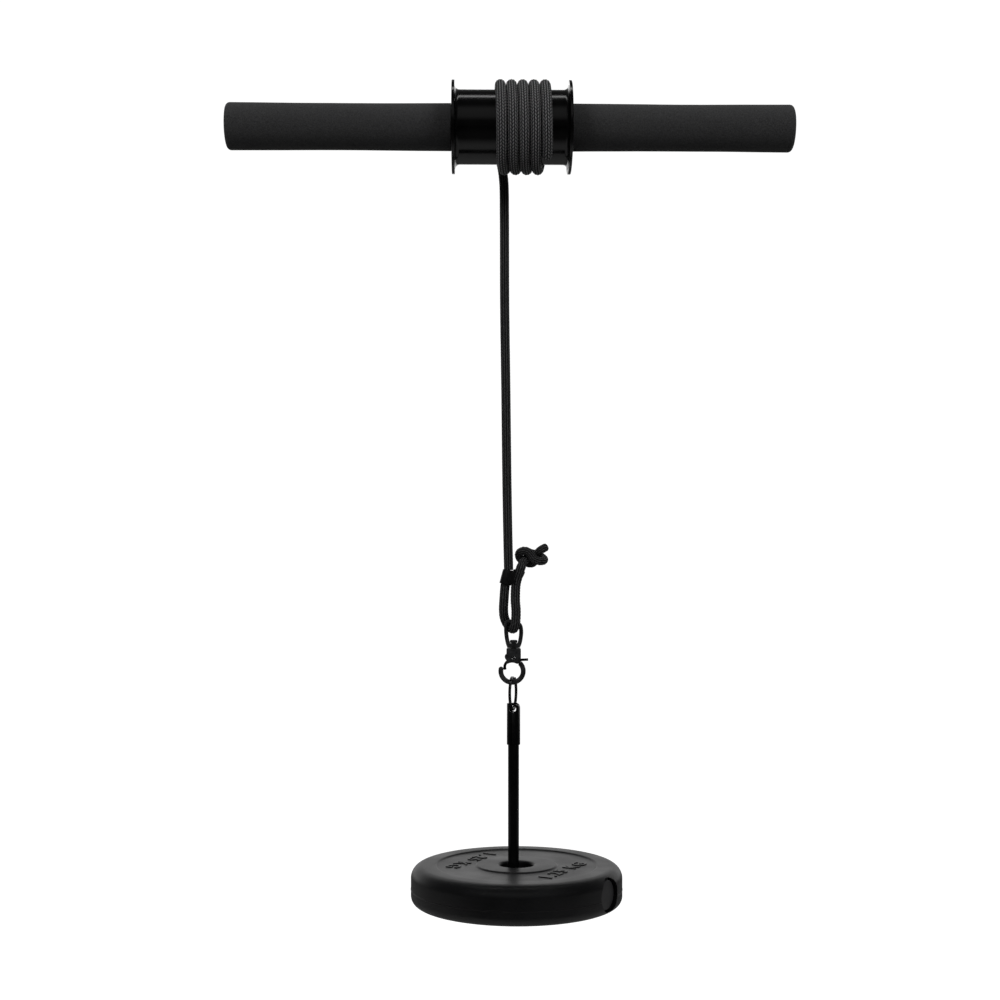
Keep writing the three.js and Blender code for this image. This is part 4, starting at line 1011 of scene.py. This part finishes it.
def make_sleeve():
    outer, edge, ring_hole = 5.05, 0.25, 2.7
    profile = [(ROD_BORE, SLEEVE_FOOT), (outer - edge, SLEEVE_FOOT), (outer, SLEEVE_FOOT + edge)]
    profile += [(outer, SLEEVE_TOP), (ROD_BORE, SLEEVE_TOP), (ROD_BORE, SLEEVE_FOOT)]
    sleeve = placed(turned("pin_collar", profile, 72), (HANG_X, HANG_Y, 0))
    trim = block("trim", (10.1, 14, 40), (0, 0, -20))
    editing(trim)
    bpy.ops.mesh.select_all(action='DESELECT')
    bpy.ops.mesh.select_mode(type='EDGE')
    bpy.ops.object.mode_set(mode='OBJECT')
    corners = trim.data.vertices
    for line in trim.data.edges:
        ends = [corners[i].co for i in line.vertices]
        line.select = all(e.x > 0 and e.z > -1 * mm for e in ends)
    bpy.ops.object.mode_set(mode='EDIT')
    bpy.ops.mesh.bevel(offset=4 * mm, segments=10)
    bpy.ops.mesh.select_mode(type='VERT')
    bpy.ops.object.mode_set(mode='OBJECT')
    placed(trim, (HANG_X, HANG_Y, SLEEVE_TOP), (0, 0, -12))
    combined(sleeve, trim, 'INTERSECT')
    across = Vector((math.sin(RING_YAW), math.cos(RING_YAW), 0))
    middle = Vector((HANG_X, HANG_Y, HOLE_Z))
    drilled(sleeve, ring_hole, middle - across * 8, middle + across * 8, 40)
    slit_turn, wall_middle = 22, 4.7
    aside = wall_middle * math.sin(math.radians(slit_turn))
    before = wall_middle * math.cos(math.radians(slit_turn))
    slit_place = (HANG_X - aside, HANG_Y - before, (SLEEVE_TOP + SLEEVE_FOOT) / 2)
    combined(sleeve, block("slit", (0.6, 3, 40), slit_place, (0, 0, -slit_turn)))
    rounded(sleeve, 0.12, 2, 45)
    finished(sleeve, coated_steel, "pin", "dark_steel", "pin_sleeve", angle=35)


def make_shaft():
    profile = [(0.3, BASE_FOOT), (ROD_RADIUS, BASE_FOOT), (ROD_RADIUS, -500)]
    profile += arc(ROD_RADIUS - 0.8, ROD_TOP - 0.8, 0.8, 0, 90, 4) + [(0.3, ROD_TOP)]
    shaft = placed(turned("pin_shaft", profile, 72), (HANG_X, HANG_Y, 0))
    finished(shaft, coated_steel, "pin", "dark_steel", "loading_rod")


def make_foot():
    edge = FOOT_RADIUS - 0.8
    profile = [(ROD_BORE, BASE_FOOT)] + arc(edge, BASE_FOOT + 0.8, 0.8, -90, 0, 4)
    profile += arc(edge, BASE_TOP - 0.8, 0.8, 0, 90, 4) + [(ROD_BORE, BASE_TOP), (ROD_BORE, BASE_FOOT)]
    foot = placed(turned("pin_foot", profile, 96), (HANG_X, HANG_Y, 0))
    finished(foot, coated_steel, "pin", "dark_steel", "base_disc")


make_sleeve()
make_shaft()
make_foot()


# ---- Weight plate

PLATE_RADIUS, PLATE_HALF, BORE_RADIUS = 80, 14.75, 12.75
LOWER_ROUND, UPPER_ROUND = 6.8, 9.3
RECESS_DEPTH, RECESS_OUTER, RECESS_INNER = 1.1, 60.6, 30.9
PLUG_TURN = 58


def recess_wall(radius, side):
    """The soft step between the raised and the sunk part of a face, from outside to inside"""
    rise = [(1.5, 0.0), (1.0, 0.04), (0.5, 0.26), (0.2, 0.55), (-0.1, 0.86), (-0.4, 1.04), (-0.9, 1.1)]
    steps = [(radius + side * out, PLATE_HALF - drop) for out, drop in rise]
    return steps if side > 0 else steps[::-1]


def plug_tool(name, radius, start, end, sides=72):
    turn = math.radians(PLUG_TURN)
    ray = Vector((math.sin(turn), -math.cos(turn), 0))
    return rod_between(name, radius, PLATE + ray * start, PLATE + ray * end, sides)


def hollow_profile(inset):
    half, inner, outer = PLATE_HALF - inset, BORE_RADIUS + inset, PLATE_RADIUS - inset
    lower, upper = LOWER_ROUND - inset, UPPER_ROUND - inset
    profile = [(inner, -half)] + arc(outer - lower, lower - half, lower, -90, 0, 6)
    return profile + arc(outer - upper, half - upper, upper, 0, 90, 6) + [(inner, half), (inner, -half)]


def plate_face(round_):
    face = arc(PLATE_RADIUS - round_, PLATE_HALF - round_, round_, 0, 90, 14)
    face += recess_wall(RECESS_OUTER, 1)
    face += [(52, PLATE_HALF - RECESS_DEPTH), (42, PLATE_HALF - RECESS_DEPTH)]
    face += recess_wall(RECESS_INNER, -1)
    mouth = 2.2
    return face + [(20, PLATE_HALF)] + arc(BORE_RADIUS + mouth, PLATE_HALF - mouth, mouth, 90, 180, 6)


def make_plate():
    lower = [(r, -z) for r, z in reversed(plate_face(LOWER_ROUND))]
    parting, ridge, wall = -3.1, PLATE_RADIUS + 0.2, 3
    pocket_radius, pocket_floor, outside = 12.8, 74.4, 90
    seam = [(PLATE_RADIUS, parting - 0.4), (ridge, parting - 0.18)]
    seam += [(ridge, parting + 0.18), (PLATE_RADIUS, parting + 0.4)]
    profile = lower + seam + plate_face(UPPER_ROUND)
    profile.append(profile[0])
    plate = placed(turned("plate_moulding", profile, 208), PLATE)
    combined(plate, plug_tool("recess", pocket_radius, pocket_floor, outside))
    hollow = placed(turned("hollow", hollow_profile(wall), 96), PLATE)
    combined(hollow, plug_tool("boss", pocket_radius + wall, pocket_floor - wall, outside))
    combined(plate, hollow)
    combined(plate, plug_tool("stem_hole", 8.8, 68, outside))
    finished(plate, plate_satin, "plate", "plate_plastic", "plate_shell", angle=35)


def make_plug():
    stem_end, seat, face = 71.7, 74.7, 77.1
    stem, cap, edge = 8.6, 11.0, 1.0
    profile = [(0.3, stem_end), (stem, stem_end), (stem, seat), (cap, seat)]
    profile += arc(cap - edge, face - edge, edge, 0, 90, 6) + [(3, face), (0.3, face)]
    plug = turned("filler_cap", profile, 80)
    placed(plug, PLATE, (90, 0, PLUG_TURN))
    finished(plug, plug_plastic, "plate", "plug_plastic", "filler_plug")


def make_numbers(name, turn):
    """Plain raised figures for the weight, facing outwards in the plate's sunk ring"""
    clear()
    bpy.ops.object.text_add()
    text = named(name)
    text.data.body = "1.25 KG"
    text.data.size = 15.5 * mm
    text.data.space_character = 1.25
    text.data.extrude = 0.3 * mm
    text.data.bevel_depth = 0.12 * mm
    text.data.align_x = 'CENTER'
    text.data.align_y = 'CENTER'
    only(text)
    bpy.ops.object.convert(target='MESH')
    numbers = bpy.context.object
    ray = Vector((math.sin(math.radians(turn)), -math.cos(math.radians(turn)), 0))
    place, height = 40, PLATE_HALF - RECESS_DEPTH + 0.2
    placed(numbers, PLATE + ray * place + Vector((0, 0, height)), (0, 0, turn))
    closed_up(numbers)
    finished(numbers, plate_satin, "plate", "plate_plastic", angle=35)


make_plate()
make_plug()
make_numbers("plate_numbers_front", 60)
make_numbers("plate_numbers_back", 240)


# ---- Pieces of the frame that keep their shape

def repaint(node, material):
    for place in nodes[node].material_slots:
        place.material = material


for pin in ("bar_tube", "flange_pin_left", "flange_pin_right", "gate_spring"):
    repaint(pin, bright_steel)
repaint("plate_fill", cement)

clear()
